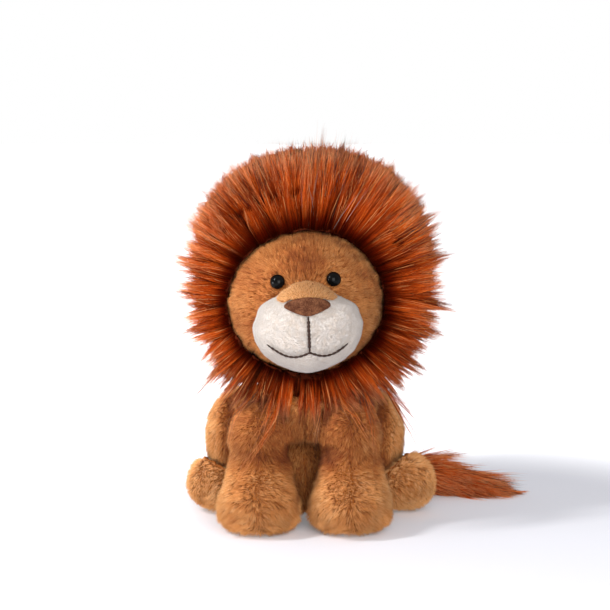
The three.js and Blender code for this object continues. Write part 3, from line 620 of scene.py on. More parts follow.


# Shoulder gussets
# Strips of the same plush that close the seams between chest and front legs.
leg_nodes = [f"front_leg_{layer}_{side}" for layer in ("skin", "stuffing") for side in sides]
gusset_form = eased("gusset_form", ["body_skin", "body_stuffing", *leg_nodes], 2.5 * mm, rounds=26)
gusset_low, gusset_high = 62 * mm, 93 * mm
gusset_in, gusset_out = -1 * mm, 20 * mm  # from the middle of the chest
gusset_back = -30 * mm
gusset_density = 4.5
for side in sides:
    way_out = -1 if side == "left" else 1
    gusset = placed("shoulder_gusset_" + side, gusset_form.data.copy())
    mesh = bmesh.new()
    mesh.from_mesh(gusset.data)
    stray = []
    for v in mesh.verts:
        across = gusset_in < v.co.x * way_out < gusset_out
        if not (across and gusset_low < v.co.z < gusset_high and v.co.y < gusset_back):
            stray.append(v)
    mesh.normal_update()
    for v in mesh.verts:
        tucked = min(max((v.co.x * way_out - 11 * mm) / (9 * mm), (v.co.z - 80 * mm) / (9 * mm), 0), 1)
        v.co -= v.normal * (1 + 3 * tucked**2) * mm
    bmesh.ops.delete(mesh, geom=stray, context="VERTS")
    mesh.to_mesh(gusset.data)
    mesh.free()
    roots, normals = roots_on(gusset.data, gusset_density, 25 + sides.index(side))
    chance = np.random.default_rng(27)
    comb = np.tile([0.0, 0.0, -1.0], (len(roots), 1))
    comb[:, 0] = np.clip(roots[:, 0] / (22 * mm), -0.6, 0.6)
    comb = unit(comb + chance.normal(0, 0.25, roots.shape))
    reach = pile_length * (0.8 + 0.4 * chance.random(len(roots)))
    tips = roots + unit(comb * 0.8 + normals * 0.6) * reach[:, None]
    tips, _ = gathered(roots, tips, pile_tuft, 0.3, 28)
    shades = 0.44 + 0.07 * drift(roots, 16 * mm, 29) + chance.normal(0, 0.1, len(roots))
    shades = np.clip(shades, darkest, palest)
    lines = np.stack([roots, tips], axis=1)
    pile = strands(gusset.name + "_pile", lines, np.full(len(roots), pile_width), shades)
    gusset.modifiers.new("thickness", "SOLIDIFY").thickness = backing_thickness
    applied(gusset).data.materials.append(knitted_backing)
    pile.data.materials.append(plush_pile)
    for piece in (gusset, pile):
        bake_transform(piece)
bpy.data.objects.remove(gusset_form)


# Hind legs
# A round plush haunch sewn flat on each hip, and a stuffed foot under it with its toes turned
# out; both are combed back and down, and the foot forward over the toes.
for side in sides:
    hip = pivot("hind_leg_" + side + "_lift")
    way_out = -1 if side == "left" else 1

    def over_the_haunch(points, normals):
        """Out from the hip and down."""
        way = points - hip
        way[:, 0] = 0
        way = unit(way) * 0.6
        way[:, 2] -= 0.8
        return way

    def haunch_painted_light(points, normals):
        """Painted shade in the hollow beside the front leg, and painted light that makes it pale outside."""
        front = np.clip((26 * mm - points[:, 1]) / (14 * mm), 0, 1)
        inner = np.clip((62 * mm - np.abs(points[:, 0])) / (10 * mm), 0, 1)
        return 0.2 - 0.5 * front * inner

    def over_the_foot(points, normals):
        """Forward to the toes and down at the sides."""
        way = np.zeros_like(points)
        way[:, 0] = 0.45 * way_out
        way[:, 1] = -1.0
        way[:, 2] = -0.5
        return way

    plush(
        "haunch_" + side,
        ["haunch_skin_" + side, "haunch_stuffing_" + side],
        "hind_leg_" + side,
        over_the_haunch,
        [body_solid, leg_solids[side]],
        seed=31 + sides.index(side),
        tone=haunch_painted_light,
    )
    plush(
        "foot_" + side,
        ["foot_skin_" + side, "foot_stuffing_" + side],
        "hind_leg_" + side,
        over_the_foot,
        [body_solid, leg_solids[side], *([tuft_solid, tail_solid] if side == "right" else [])],
        seed=41 + sides.index(side),
        # painted light: paler pile on the feet, as they are lit low down
        tone=0.22,
    )


# Tail
# A thin plush tube out of the rump's right side, stuffed, with a tuft of long fur sewn on its
# end that lies on the floor and sweeps forward to the right.
def along_the_tail(points, normals):
    """Along the tube, away from the rump."""
    return np.tile([1.0, 0.1, -0.1], (len(points), 1))


plush(
    "tail",
    ["tail_stem"],
    "tail",
    along_the_tail,
    [body_solid, haunch_solids["right"], foot_solids["right"], tuft_solid],
    seed=51,
    length=4.5 * mm,
    cell=1.5 * mm,
)


# Tuft
# Long rust fur on the tail's end: a dense core that the locks grow from, all combed the way
# that the tail points, with painted light paler on top and painted shade dark underneath, ending in
# single black hairs.
core_floor_gap = 1 * mm


def drawn_in(name, node_name, tree, depth, cell):
    """A fur piece's core: its solid with the skin near the outside of the whole form pushed inwards."""
    core = eased(name, [node_name], cell, 2)
    _, corners, _ = form_of(core.data)
    for i, corner in enumerate(corners):
        _, normal, _, distance = tree.find_nearest(Vector(corner))
        corners[i] -= np.array(normal) * max(0, depth(corner[None], np.array(normal)[None])[0] - distance)
    corners[:, 2] = np.maximum(corners[:, 2], core_floor_gap)
    reshaped(core, corners)
    core.data.shade_smooth()
    return core


def reach_out(roots, ways, tree, longest):
    """How far each hair runs before it leaves the fur's outer form."""
    reach = np.full(len(roots), longest)
    for i, (root, way) in enumerate(zip(roots.tolist(), ways.tolist())):
        hit = tree.ray_cast(Vector(root), Vector(way), longest)
        if hit[0] is not None:
            reach[i] = hit[3]
    return reach


def locks(roots, ways, reach, spacing, pull, fall, spread, seed, bow=0.0, layout=None, uneven=1.0):
    """Centre lines of long hairs that draw together into pointed locks, bow a little and sink.

    The roots whose places in the layout share a cell make one lock, inside which smaller cells make
    smaller locks. Uneven says how much the hairs differ in length.
    """
    chance = np.random.default_rng(seed)
    count = len(roots)
    layout = roots if layout is None else layout
    uneven = np.broadcast_to(uneven, count)
    tips, tones = roots + ways * reach[:, None], 0
    for size, share in ((spacing, pull), (spacing * 0.45, pull * 0.8)):
        warp = np.stack([drift(layout, 1.6 * size, seed + i) for i in range(3)], axis=1) * size * 0.6
        cells = np.floor((layout + warp) / size).astype(np.int64)
        _, first, which = np.unique(cells, axis=0, return_index=True, return_inverse=True)
        which = which.reshape(-1)
        turn = chance.normal(0, spread, (len(first), 3))
        longer = 1 + uneven[first] * (0.34 * chance.random(len(first)) - 0.18)
        lock_way = unit(unit(tips[first] - roots[first]) + turn)
        lock_tips = roots[first] + lock_way * (reach[first] * longer)[:, None]
        strength = np.clip(share * (0.6 + 0.8 * chance.random(len(first))), 0, 0.95)[which][:, None]
        own = roots + unit(unit(tips - roots) + turn[which] * 0.6) * (reach * longer[which])[:, None]
        tips = own + (lock_tips[which] - own) * strength
        tones = tones + chance.normal(size=len(first))[which]
    stray = chance.normal(0, spread * 0.35, (count, 3)) * reach[:, None]
    tips = tips + stray + (tips - roots) * (uneven * (chance.random(count) ** 2.2 * 0.66 - 0.4))[:, None]
    along = np.linspace(0, 1, 4)[None, :, None]
    straight = roots + ways * reach[:, None]
    lines = roots[:, None] + (straight - roots)[:, None] * along + (tips - straight)[:, None] * along**1.5
    along = along[:, :, 0]
    lines[:, :, 1] -= (bow * reach)[:, None] * (4 * along * (1 - along))
    lines[:, :, 2] -= (fall * reach)[:, None] * along**2
    return lines, tones / 1.4


def fur(name, lines, tones, body, bright, seed, width=0.45 * mm):
    """Long hairs with their shades: most near their lock's own, some single ones pale or dark."""
    chance = np.random.default_rng(seed)
    count = len(lines)
    shades = 0.4 + 0.13 * tones + chance.normal(0, 0.11, count) + bright
    single = chance.random(count)
    shades = np.where(single < 0.05, 0.93, np.where(single > 0.97, 0.04, shades))
    widths = width * (0.7 + 0.6 * chance.random(count))
    hair = strands(name, lines, widths, np.clip(shades, darkest, palest))
    dress(hair, long_pile_fur, body, "long_fur")


# long-pile acrylic fur: glossy straight fibres, rust to orange, with painted shade near black at the root,
# and ends paled partly in the fibres' own colour and partly by painted light shining through them
long_pile_fur, tree = new_material("long_pile_acrylic_fur")
along = node(tree, "SeparateXYZ", {0: node(tree, "UVMap", uv_map="OFBake")}).outputs
rusts = [(0, "#3a0f05"), (0.25, "#8f300a"), (0.5, "#c04a12"), (0.75, "#dc6a24")]
rusts += [(0.9, "#e88f4c"), (1, "#f2bd8c")]
root_painted_shade = [(0.0, "#44200f"), (0.18, "#8a5a46"), (0.5, "#ffffff")]
fibre_tint = node(tree, "ValToRGB", {"Fac": along["Y"]}, rusts)
root_shade = node(tree, "ValToRGB", {"Fac": along["X"]}, root_painted_shade)
rooted = node(tree, "Mix", {0: 1.0, 6: fibre_tint, 7: root_shade}, data_type="RGBA", blend_type="MULTIPLY")
tip_range = {"From Min": 0.66, "From Max": 0.96, "To Min": 0.0}  # of the hair's length, where it pales: the fibre's own tipping and painted light through the thin end
shade_range = {"From Min": 0.2, "From Max": 0.5, "To Min": 0.15, "To Max": 0.85}  # dark hairs pale less
# paling of the tips: partly the fibres' own colour, partly painted light shining through them
paling_by_shade = node(tree, "MapRange", {"Value": along["Y"], **shade_range})
pale_tips_and_glow = node(tree, "MapRange", {"Value": along["X"], "To Max": paling_by_shade, **tip_range})
pale = linear("#ffb780")
tint = node(tree, "Mix", {0: pale_tips_and_glow, 6: rooted.outputs[2], 7: pale}, data_type="RGBA", blend_type="MIX")
sheen = {"Roughness": 0.5, "Specular IOR Level": 0.2, "Specular Tint": linear("#ff9c5a")}
coat = node(tree, "BsdfPrincipled", {"Base Color": tint.outputs[2], **sheen})
node(tree, "OutputMaterial", {"Surface": coat})

# guard hair: coarse black fibres that stand out of the fur, grey where the light catches them
guard_hair, tree = new_material("black_guard_hair")
along = node(tree, "SeparateXYZ", {0: node(tree, "UVMap", uv_map="OFBake")}).outputs
tint = node(tree, "ValToRGB", {"Fac": along["Y"]}, [(0.0, "#120e0d"), (0.6, "#2f2624"), (1.0, "#a0958f")])
coat = node(tree, "BsdfPrincipled", {"Base Color": tint, "Roughness": 0.5, "Specular IOR Level": 0.3})
node(tree, "OutputMaterial", {"Surface": coat})

# fur core: the knitted ground under the long fibres, painted near black round the face as the shade deep in
# the fur, and rust behind
fur_ground, tree = new_material("dark_fur_ground")
place = node(tree, "TexCoord").outputs["Object"]
patches = node(tree, "TexNoise", {"Vector": place, "Scale": 1 / (4 * mm), "Detail": 4})
backward = node(tree, "SeparateXYZ", {0: place}).outputs["Y"]
behind = node(tree, "MapRange", {"Value": backward, "From Min": -8 * mm, "From Max": 15 * mm, "To Max": 0.45})
shade = node(tree, "Math", {0: patches, 1: behind}, operation="ADD")
tint = node(tree, "ValToRGB", {"Fac": shade}, [(0.3, "#2b0d05"), (0.7, "#58200c"), (1.0, "#83340f")])
relief = node(tree, "Bump", {"Height": patches, "Strength": 0.8, "Distance": 1 * mm})
dull = {"Roughness": 0.9, "Specular IOR Level": 0.05}
coat = node(tree, "BsdfPrincipled", {"Base Color": tint, "Normal": relief, **dull})
node(tree, "OutputMaterial", {"Surface": coat})

tuft_low, tuft_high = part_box("tail_tuft")
tuft_root = pivot("tail_tuft_lift")
tuft_form = eased("tuft_form", ["tail_tuft"], 2 * mm, 2)
tuft_tree, _, _ = form_of(tuft_form.data)
tuft_core_depth = 5 * mm
tuft_hair_low = 0.4 * mm  # the hairs' least height above the floor
tuft_density = 1.7  # hairs to a square millimetre
tuft_black_most = 260  # black hairs at its end, fewer where they would start too far back


def tuft_depth(corners, normals):
    """The core's depth, less towards the thin tip."""
    left = (tuft_high.x - corners[:, 0]) / (tuft_high.x - tuft_low.x)
    base = np.clip(1 - (corners[:, 0] - tuft_low.x) / (9 * mm), 0, 1)
    return tuft_core_depth * (np.clip(2.2 * left, 0.1, 1) + 0.7 * base)


tuft_core = drawn_in("tuft_core", "tail_tuft", tuft_tree, tuft_depth, 2 * mm)
dress(tuft_core, fur_ground, "tuft", "long_fur", "tail_tuft")
roots, normals = roots_on(tuft_form.data, tuft_density, 61)
roots = roots - normals * 0.9 * tuft_depth(roots, normals)[:, None]
tuft_tip = np.array([tuft_high.x, tuft_root[1] - 0.12 * (tuft_high.x - tuft_root[0]), 2 * mm])
lifted = np.clip((tuft_low.x + 26 * mm - roots[:, 0]) / (20 * mm), 0, 1) * np.clip(normals[:, 2], 0, 1)
ways = unit(unit(tuft_tip - roots) + 0.22 * normals + lifted[:, None] * (-0.1, 0, 0.3))
reach = np.clip(tuft_high.x - 2 * mm - roots[:, 0], 12 * mm, 34 * mm)
lines, tones = locks(roots, ways, reach, spacing=7 * mm, pull=0.6, fall=0.1, spread=0.1, seed=62)
lines[:, :, 2] = np.maximum(lines[:, :, 2], tuft_hair_low)
keep = outside(lines[:, -1], [foot_solids["right"], haunch_solids["right"]])
# painted light and shade: hairs paler where the core faces up, darker underneath
fur("tuft_locks", lines[keep], tones[keep], "tuft", 0.14 + 0.16 * normals[keep, 2], 63, 0.4 * mm)

# single black hairs past the tuft's end
ends = np.random.default_rng(64).permutation(len(roots))[:tuft_black_most]
ends = ends[(roots[ends, 0] > tuft_high.x - 55 * mm) & (normals[ends, 2] > -0.3)]
ways = unit(ways[ends] * (1, 1, 0.3))
reach = np.clip(tuft_high.x + 3 * mm - roots[ends, 0], 12 * mm, 36 * mm)
lines, _ = locks(roots[ends], ways, reach, spacing=9 * mm, pull=0.4, fall=0.05, spread=0.06, seed=65)
lines[:, :, 2] = np.maximum(lines[:, :, 2], tuft_hair_low)
shades = np.random.default_rng(66).random(len(ends)) * 0.6 + 0.05
black_ends = strands("tuft_guard_hairs", lines, np.full(len(ends), 0.35 * mm), shades)
dress(black_ends, guard_hair, "tuft", "long_fur")
bpy.data.objects.remove(tuft_form)


# Head
# A stuffed plush ball sewn over the neck, combed outwards from the nose over the cheeks and
# up between the eyes, where the pile has painted shade.
head_low, head_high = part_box("head_skin")
nose_low, nose_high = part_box("nose")
nose_middle = np.array((nose_low + nose_high) / 2)
head_middle = np.array((head_low + head_high) / 2)
mane_panels = ["mane_right", "mane_crown", "mane_left", "mane_bib", "mane_back"]
eye_solids = [solid_of("eye", "eye_left"), solid_of("eye", "eye_right")]


def away_from_the_nose(points, normals):
    """Outwards from just above the nose, all round the face."""
    return points - nose_middle - np.array((0, 0, 6 * mm))


def face_painted_shade(points, normals):
    """Painted shade above the nose's bridge and on the viewer's left, where the mane's shadow falls; paler
    cheeks.
    """
    across, up = points[:, 0] - nose_middle[0], points[:, 2] - nose_middle[2]
    brow = np.exp(-((across / (11 * mm)) ** 2) - (((up - 22 * mm) / (13 * mm)) ** 2))
    cheeks = np.clip((np.abs(across) - 26 * mm) / (20 * mm), 0, 1)
    return -0.28 * brow + 0.02 * cheeks - 0.08 * np.clip(-across / (30 * mm), 0, 1)


plush(
    "head",
    ["head_skin", "head_stuffing"],
    "head",
    away_from_the_nose,
    [muzzle_solid, patch_solid, *eye_solids],
    seed=71,
    density=4.6,
    length=4.6 * mm,
    lift=0.9,
    tone=face_painted_shade,
    only=lambda points: points[:, 1] < head_middle[1] - 3 * mm,
)


# Muzzle
# A cap of off-white velour, padded and sewn on the face, pulled in a little along the smile
# and under the nose where the stitches go through.
def spine(node_name, axis):
    """Centre line of a sewn line's solid, from the rings of six corners along it."""
    corners = np.array([v.co for v in frame["nodes"][node_name].data.vertices])
    corners = np.unique(corners.round(7), axis=0)
    return corners[np.argsort(corners[:, axis])].reshape(-1, 6, 3).mean(1)


smile_line = spine("smile_stitch", 0)
lip_line = spine("lip_stitch", 2)
lip_line[0, 2] = smile_line[len(smile_line) // 2, 2] + 0.3 * mm


def pressed(piece, line, depth, width):
    """Presses a groove into a piece's skin along a centre line."""
    _, corners, normals = form_of(piece.data)
    spots = np.concatenate([np.linspace(a, b, 8) for a, b in zip(line[:-1], line[1:])])
    low, high = spots.min(0) - 3 * width, spots.max(0) + 3 * width
    for i in np.flatnonzero((corners > low).all(1) & (corners < high).all(1)):
        distance = np.sqrt(((spots - corners[i]) ** 2).sum(1).min())
        corners[i] -= normals[i] * depth * math.exp(-((distance / width) ** 2))
    reshaped(piece, corners)


muzzle = eased(
    "muzzle_velour",
    ["muzzle_skin", "muzzle_stuffing"],
    cell=1.3 * mm,
    rounds=14,
    inset=0.2 * mm,
    lump=0.5 * mm,
    lump_size=18 * mm,
)
_, corners, _ = form_of(muzzle.data)
muzzle_middle = (corners.min(0) + corners.max(0)) / 2 - np.array((0, 0, 3 * mm))
off = (corners - muzzle_middle) * (1, 0, 1)
turn = np.degrees(np.arctan2(off[:, 2], np.abs(off[:, 0])))
cheek_fuller, chin_fuller = 3.5 * mm, 2.0 * mm  # than the solid: up beside the nose, and below
rounded = cheek_fuller * np.exp(-(((turn - 28) / 14) ** 2)) + chin_fuller * np.exp(-(((turn + 90) / 28) ** 2))
reshaped(muzzle, corners + unit(off) * rounded[:, None])
pressed(muzzle, smile_line, 0.9 * mm, 2.4 * mm)
pressed(muzzle, lip_line, 1.1 * mm, 2.8 * mm)

# cotton velour: dense off-white fibres a millimetre long, slightly mottled, soft at its edges
cotton_velour, tree = new_material("cotton_velour")
place = node(tree, "TexCoord").outputs["Object"]
fine = node(tree, "TexNoise", {"Vector": place, "Scale": 1 / (0.9 * mm), "Detail": 3})
mottle = node(tree, "TexNoise", {"Vector": place, "Scale": 1 / (3.5 * mm), "Detail": 5})
fine_tint = node(tree, "ValToRGB", {"Fac": fine}, [(0.35, "#c5bab0"), (0.65, "#ddd6d0")])
mottle_tint = node(tree, "ValToRGB", {"Fac": mottle}, [(0.36, "#f3ebe2"), (0.6, "#ffffff")])
tint = node(tree, "Mix", {0: 1.0, 6: fine_tint, 7: mottle_tint}, data_type="RGBA", blend_type="MULTIPLY")
relief = node(tree, "Bump", {"Height": fine, "Strength": 0.4, "Distance": 0.3 * mm})
soft = {"Roughness": 0.9, "Sheen Weight": 0.15}
coat = node(tree, "BsdfPrincipled", {"Base Color": tint.outputs[2], "Normal": relief, **soft})
node(tree, "OutputMaterial", {"Surface": coat})
dress(muzzle, cotton_velour, "head", "velour", "muzzle_skin")
muzzle_tree, _, _ = form_of(muzzle.data)

fuzz_density = 6.0  # fibres to a square millimetre
fuzz_length, fuzz_width = 0.9 * mm, 0.24 * mm
roots, normals = roots_on(muzzle.data, fuzz_density, 81)
chance = np.random.default_rng(82)
comb = unit(unit(roots - nose_middle) + (0, 0, -0.6) + chance.normal(0, 0.2, roots.shape))
reach = fuzz_length * (0.7 + 0.6 * chance.random(len(roots)))
tips = roots + unit(normals + comb) * reach[:, None]
keep = outside(tips, [head_solid, patch_solid]) & (roots[:, 1] < head_low.y + 14 * mm)
lines = np.stack([roots, tips], axis=1)[keep]
shades = 0.45 + 0.2 * chance.random(len(lines))
fuzz = strands("muzzle_fuzz", lines, np.full(len(lines), fuzz_width), shades)

# cut ends of the velour's fibres, a little paler than its ground
velour_fibre, tree = new_material("velour_fibre_ends")
along = node(tree, "SeparateXYZ", {0: node(tree, "UVMap", uv_map="OFBake")}).outputs
tint = node(tree, "ValToRGB", {"Fac": along["Y"]}, [(0.2, "#c5bab0"), (0.8, "#e0dad4")])
coat = node(tree, "BsdfPrincipled", {"Base Color": tint, "Roughness": 0.9})
node(tree, "OutputMaterial", {"Surface": coat})
dress(fuzz, velour_fibre, "head", "velour")


# Nose and bridge
# A padded nose of brown suede cloth, and above it a strip of tan plush, shorn close, whose
# folded lower edge lies over the nose.
def arched(piece, bow, squeeze=0.0):
    """Bows a piece of the nose so that its ends hang lower, and makes it lower and narrower by shares."""
    _, corners, _ = form_of(piece.data)
    off = corners[:, 0] - nose_middle[0]
    across = off / nose_half_width
    corners[:, 0] -= 0.35 * squeeze * off
    low = corners[:, 2].min()
    flat = 2 * squeeze * np.exp(-((across / 0.6) ** 2)) * mm * np.clip((corners[:, 2] - low) / (6 * mm), 0, 1)
    bowed = bow * across**2 * np.clip((corners[:, 2] - nose_low.z) / (8 * mm), 0, 1)
    corners[:, 2] -= flat + squeeze * (corners[:, 2] - low) + bowed
    reshaped(piece, corners)


nose_half_width = 16 * mm
nose = eased("nose_pad", ["nose"], 0.8 * mm, 5)
arched(nose, 3.0 * mm)

# brushed suede cloth: a dense matt nap, mottled where it is brushed both ways
brushed_suede, tree = new_material("brushed_suede_cloth")
place = node(tree, "TexCoord").outputs["Object"]
grain = node(tree, "TexNoise", {"Vector": place, "Scale": 1 / (0.8 * mm), "Detail": 5})
brushed = node(tree, "TexNoise", {"Vector": place, "Scale": 1 / (5 * mm), "Detail": 3})
grain_tint = node(tree, "ValToRGB", {"Fac": grain}, [(0.3, "#3f1f0f"), (0.7, "#845539")])
brushed_tint = node(tree, "ValToRGB", {"Fac": brushed}, [(0.35, "#b39d90"), (0.65, "#ffffff")])
tint = node(tree, "Mix", {0: 1.0, 6: grain_tint, 7: brushed_tint}, data_type="RGBA", blend_type="MULTIPLY")
relief = node(tree, "Bump", {"Height": grain, "Strength": 0.6, "Distance": 0.3 * mm})
matt = {"Roughness": 0.85, "Specular IOR Level": 0.15}
coat = node(tree, "BsdfPrincipled", {"Base Color": tint.outputs[2], "Normal": relief, **matt})
node(tree, "OutputMaterial", {"Surface": coat})
dress(nose, brushed_suede, "head", "nose_suede", "nose")

bridge = eased("nose_bridge_cloth", ["nose_bridge"], 0.7 * mm, 4)


def above_muzzle(corners):
    """How far each corner lies over the muzzle's velour, and the way up from it."""
    heights, ways_up = np.empty(len(corners)), np.empty((len(corners), 3))
    for i, corner in enumerate(corners):
        place, way_up, _, _ = muzzle_tree.find_nearest(Vector(corner))
        heights[i], ways_up[i] = (Vector(corner) - place).dot(way_up), way_up
    return heights, ways_up


heights, _ = above_muzzle(form_of(bridge.data)[1])
arched(bridge, 5.0 * mm, 0.57)
_, corners, _ = form_of(bridge.data)
sunk, ways_up = above_muzzle(corners)
padding = 0.5 * mm  # that keeps the patch's edge off the velour
reshaped(bridge, corners + ways_up * np.clip(0.6 * heights + padding - sunk, 0, 8 * mm)[:, None])
dress(bridge, knitted_backing, "head", "tan_plush", "nose_bridge")
shorn_density = 7.0  # fibres to a square millimetre
shorn_length, shorn_width = 2.1 * mm, 0.3 * mm
roots, normals = roots_on(bridge.data, shorn_density, 91)
chance = np.random.default_rng(92)
comb = unit(unit(roots - nose_middle) + 0.55 * normals + chance.normal(0, 0.15, roots.shape))
reach = shorn_length * (0.8 + 0.4 * chance.random(len(roots)))
tips = roots + comb * reach[:, None]
shades = np.clip(0.78 + chance.normal(0, 0.1, len(roots)), darkest, palest)
keep = outside(tips, eye_solids) & (normals[:, 1] < 0.3)
lines = np.stack([roots, tips], axis=1)[keep]
shorn = strands("nose_bridge_pile", lines, np.full(len(lines), shorn_width), shades[keep])
dress(shorn, plush_pile, "head", "tan_plush")


# Mouth
# Two lines of dark brown thread sewn through the muzzle in short back stitches: the lip from
# the nose down, and the smile across.
def tube(name, rings, start, end):
    """A closed tube over rings of points that turn the same way, with a point in each end."""
    count, around = rings.shape[:2]
    turns = [(i, (i + 1) % around) for i in range(around)]
    faces = []
    for low in range(0, (count - 1) * around, around):
        faces += [(low + i, low + j, low + j + around, low + i + around) for i, j in turns]
    last, first_end, last_end = (count - 1) * around, count * around, count * around + 1
    for i, j in turns:
        faces += [(first_end, j, i), (last_end, last + i, last + j)]
    shape = bpy.data.meshes.new(name)
    shape.from_pydata([*rings.reshape(-1, 3), start, end], [], faces)
    shape.shade_smooth()
    return placed(name, shape)


def sewn(name, line, stitch_length, thickest, node_name):
    """A row of back stitches along a centre line, each thick in its middle."""
    steps = np.linalg.norm(np.diff(line, axis=0), axis=1)
    length = np.concatenate([[0], np.cumsum(steps)])
    spots = np.linspace(0, length[-1], int(length[-1] / thread_step))
    middle = np.stack([np.interp(spots, length, line[:, i]) for i in range(3)], axis=1)
    for _ in range(6):
        middle[1:-1] = (middle[:-2] + middle[1:-1] + middle[2:]) / 3
    way = unit(np.gradient(middle, axis=0))
    side = unit(np.cross(way, (0, 1, 0)))
    front = np.cross(way, side)
    swell = 0.5 + 0.5 * np.abs(np.sin(math.pi * spots / stitch_length)) ** 0.7
    taper = np.clip(np.minimum(spots, length[-1] - spots) / thread_taper, 0.3, 1) ** 0.5
    turns = np.arange(thread_sides)[:, None] * 2 * math.pi / thread_sides
    around = side[:, None] * np.cos(turns) + front[:, None] * np.sin(turns)
    rings = middle[:, None] + (thickest * swell * taper)[:, None, None] * around
    thread = tube(name, rings, middle[0], middle[-1])
    dress(thread, waxed_thread, "head", "thread", node_name)


# waxed cotton thread: dark brown, two plies whose twist shows as slanting ribs a millimetre apart
waxed_thread, tree = new_material("waxed_cotton_thread")
place = node(tree, "TexCoord").outputs["Object"]
twist = {"Vector": place, "Scale": 1 / (2.4 * mm), "Distortion": 1.5}
plies = node(tree, "TexWave", twist, bands_direction="DIAGONAL").outputs["Fac"]
tint = node(tree, "ValToRGB", {"Fac": plies}, [(0.2, "#1c100b"), (0.8, "#3d271d")])
relief = node(tree, "Bump", {"Height": plies, "Strength": 0.5, "Distance": 0.2 * mm})
waxy = {"Roughness": 0.6, "Specular IOR Level": 0.2}
coat = node(tree, "BsdfPrincipled", {"Base Color": tint, "Normal": relief, **waxy})
node(tree, "OutputMaterial", {"Surface": coat})

thread_step = 0.3 * mm  # between the rings of a thread's mesh
thread_sides = 10
thread_taper = 4 * mm  # at each end, where the line goes through the cloth
smile_sunk = np.array((0, 0.2 * mm, 0))
sewn("smile_thread", smile_line[1:-2] + smile_sunk, 3.4 * mm, 0.8 * mm, "smile_stitch")
sewn("lip_thread", lip_line, 2.7 * mm, 1.1 * mm, "lip_stitch")


# Eyes
# Domed black safety eyes, moulded in one with a post that passes through the plush and is held
# by a washer inside the head.
eye_radius, eye_dome, eye_rim = 5 * mm, 4 * mm, 1 * mm
post_radius, post_length = 1.6 * mm, 15 * mm
eye_sides, dome_rings = 48, 19  # of its mesh


def safety_eye(name, node_name):
    """A dome on a short rim, turned over at the back to its post, where the CAD eye is."""
    corners = np.unique(np.array([v.co for v in frame["nodes"][node_name].data.vertices]).round(7), axis=0)
    middle = corners.mean(0)
    axis = np.linalg.svd(corners - middle)[2][0]
    axis = axis * -np.sign(axis[1])
    top = ((corners - middle) @ axis).max()
    centre = middle + axis * (top - eye_dome)
    profile = [(post_radius, -post_length), (post_radius, -eye_rim)]
    profile += [(eye_radius * 0.97, -eye_rim), (eye_radius, -eye_rim * 0.6)]
    bends = np.linspace(0, math.pi / 2, dome_rings + 1)[:-1]
    profile += [(eye_radius * math.cos(bend), eye_dome * math.sin(bend)) for bend in bends]
    out, along = np.array(profile).T[:, :, None, None]
    side = unit(np.cross(axis, (0, 0, 1)))
    turns = np.arange(eye_sides)[:, None] * 2 * math.pi / eye_sides
    around = side * np.cos(turns) + np.cross(axis, side) * np.sin(turns)
    rings = centre + axis * along + around * out
    return tube(name, rings, centre - axis * post_length, centre + axis * eye_dome)


# moulded black polystyrene: deep black, polished, with the faintest wave and clouding in its gloss
polished_plastic, tree = new_material("polished_black_plastic")
place = node(tree, "TexCoord").outputs["Object"]
wave = node(tree, "TexNoise", {"Vector": place, "Scale": 1 / (6 * mm)})
tint = node(tree, "ValToRGB", {"Fac": wave}, [(0.3, "#040404"), (0.7, "#0c0a0a")])
relief = node(tree, "Bump", {"Height": wave, "Strength": 0.05, "Distance": 0.2 * mm})
gloss = {"Roughness": 0.03, "IOR": 1.45, "Specular IOR Level": 0.08}
coat = node(tree, "BsdfPrincipled", {"Base Color": tint, "Normal": relief, **gloss})
node(tree, "OutputMaterial", {"Surface": coat})

# moulded polypropylene washer: milky white, satin
milky_plastic, tree = new_material("milky_moulded_plastic")
place = node(tree, "TexCoord").outputs["Object"]
haze = node(tree, "TexNoise", {"Vector": place, "Scale": 1 / (2 * mm)})
tint = node(tree, "ValToRGB", {"Fac": haze}, [(0.3, "#d6d2ca"), (0.7, "#e8e5df")])
coat = node(tree, "BsdfPrincipled", {"Base Color": tint, "Roughness": 0.5})
node(tree, "OutputMaterial", {"Surface": coat})

for side in sides:
    cap = safety_eye("safety_eye_" + side, "eye_" + side)
    dress(cap, polished_plastic, "head", "eye_plastic", "eye_" + side)
    washer = frame["nodes"]["eye_washer_" + side]
    washer.data.materials.clear()
    washer.data.materials.append(milky_plastic)


# Mane
# Five panels of long-pile fur sewn together round the head. Their hair stands out all round the
# face in pointed locks, lies back over the head behind, and hangs over the chest below.
face_x, face_z = head_middle[0], head_middle[2]
mane_form = eased("mane_form", mane_panels, 3 * mm, 3)
mane_tree, _, _ = form_of(mane_form.data)
back_seam_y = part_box("mane_back")[0].y
seam_turns = [-42, 52, 128, 222]  # degrees from the viewer's right, upwards


def spokes(points):
    """Unit ways from the middle of the face, square to the way it looks."""
    way = points - np.array((face_x, 0, face_z))
    way[:, 1] = 0
    return unit(way)


def ground_depth(corners, normals):
    """How deep the fur's ground lies: shallow in front, but not beside the face, and none at the head."""
    out = np.maximum((normals * spokes(corners)).sum(1), normals[:, 1] * 0.9)
    off = np.linalg.norm((corners - head_middle)[:, [0, 2]], axis=1)
    beside_face = np.clip((72 * mm - off) / (16 * mm), 0, 1) * np.clip(-normals[:, 1], 0, 1)
    at_head = np.clip(-(normals * unit(corners - head_middle)).sum(1) * 1.6, 0, 1)
    depth = 2.6 + 6 * np.clip(out * 1.3, 0, 1) + 5.5 * beside_face
    return (0.3 + depth * (1 - at_head)) * mm


def panel_of(points):
    """Which panel a point belongs to."""
    turn = np.degrees(np.arctan2(points[:, 2] - face_z, points[:, 0] - face_x))
    turn = np.where(turn < seam_turns[0], turn + 360, turn)
    ring = np.searchsorted(seam_turns[1:], turn)
    return np.where(points[:, 1] > back_seam_y, 4, ring)


for panel in mane_panels:
    core = drawn_in(panel + "_ground", panel, mane_tree, ground_depth, 3 * mm)
    dress(core, fur_ground, "head", "long_fur", panel)


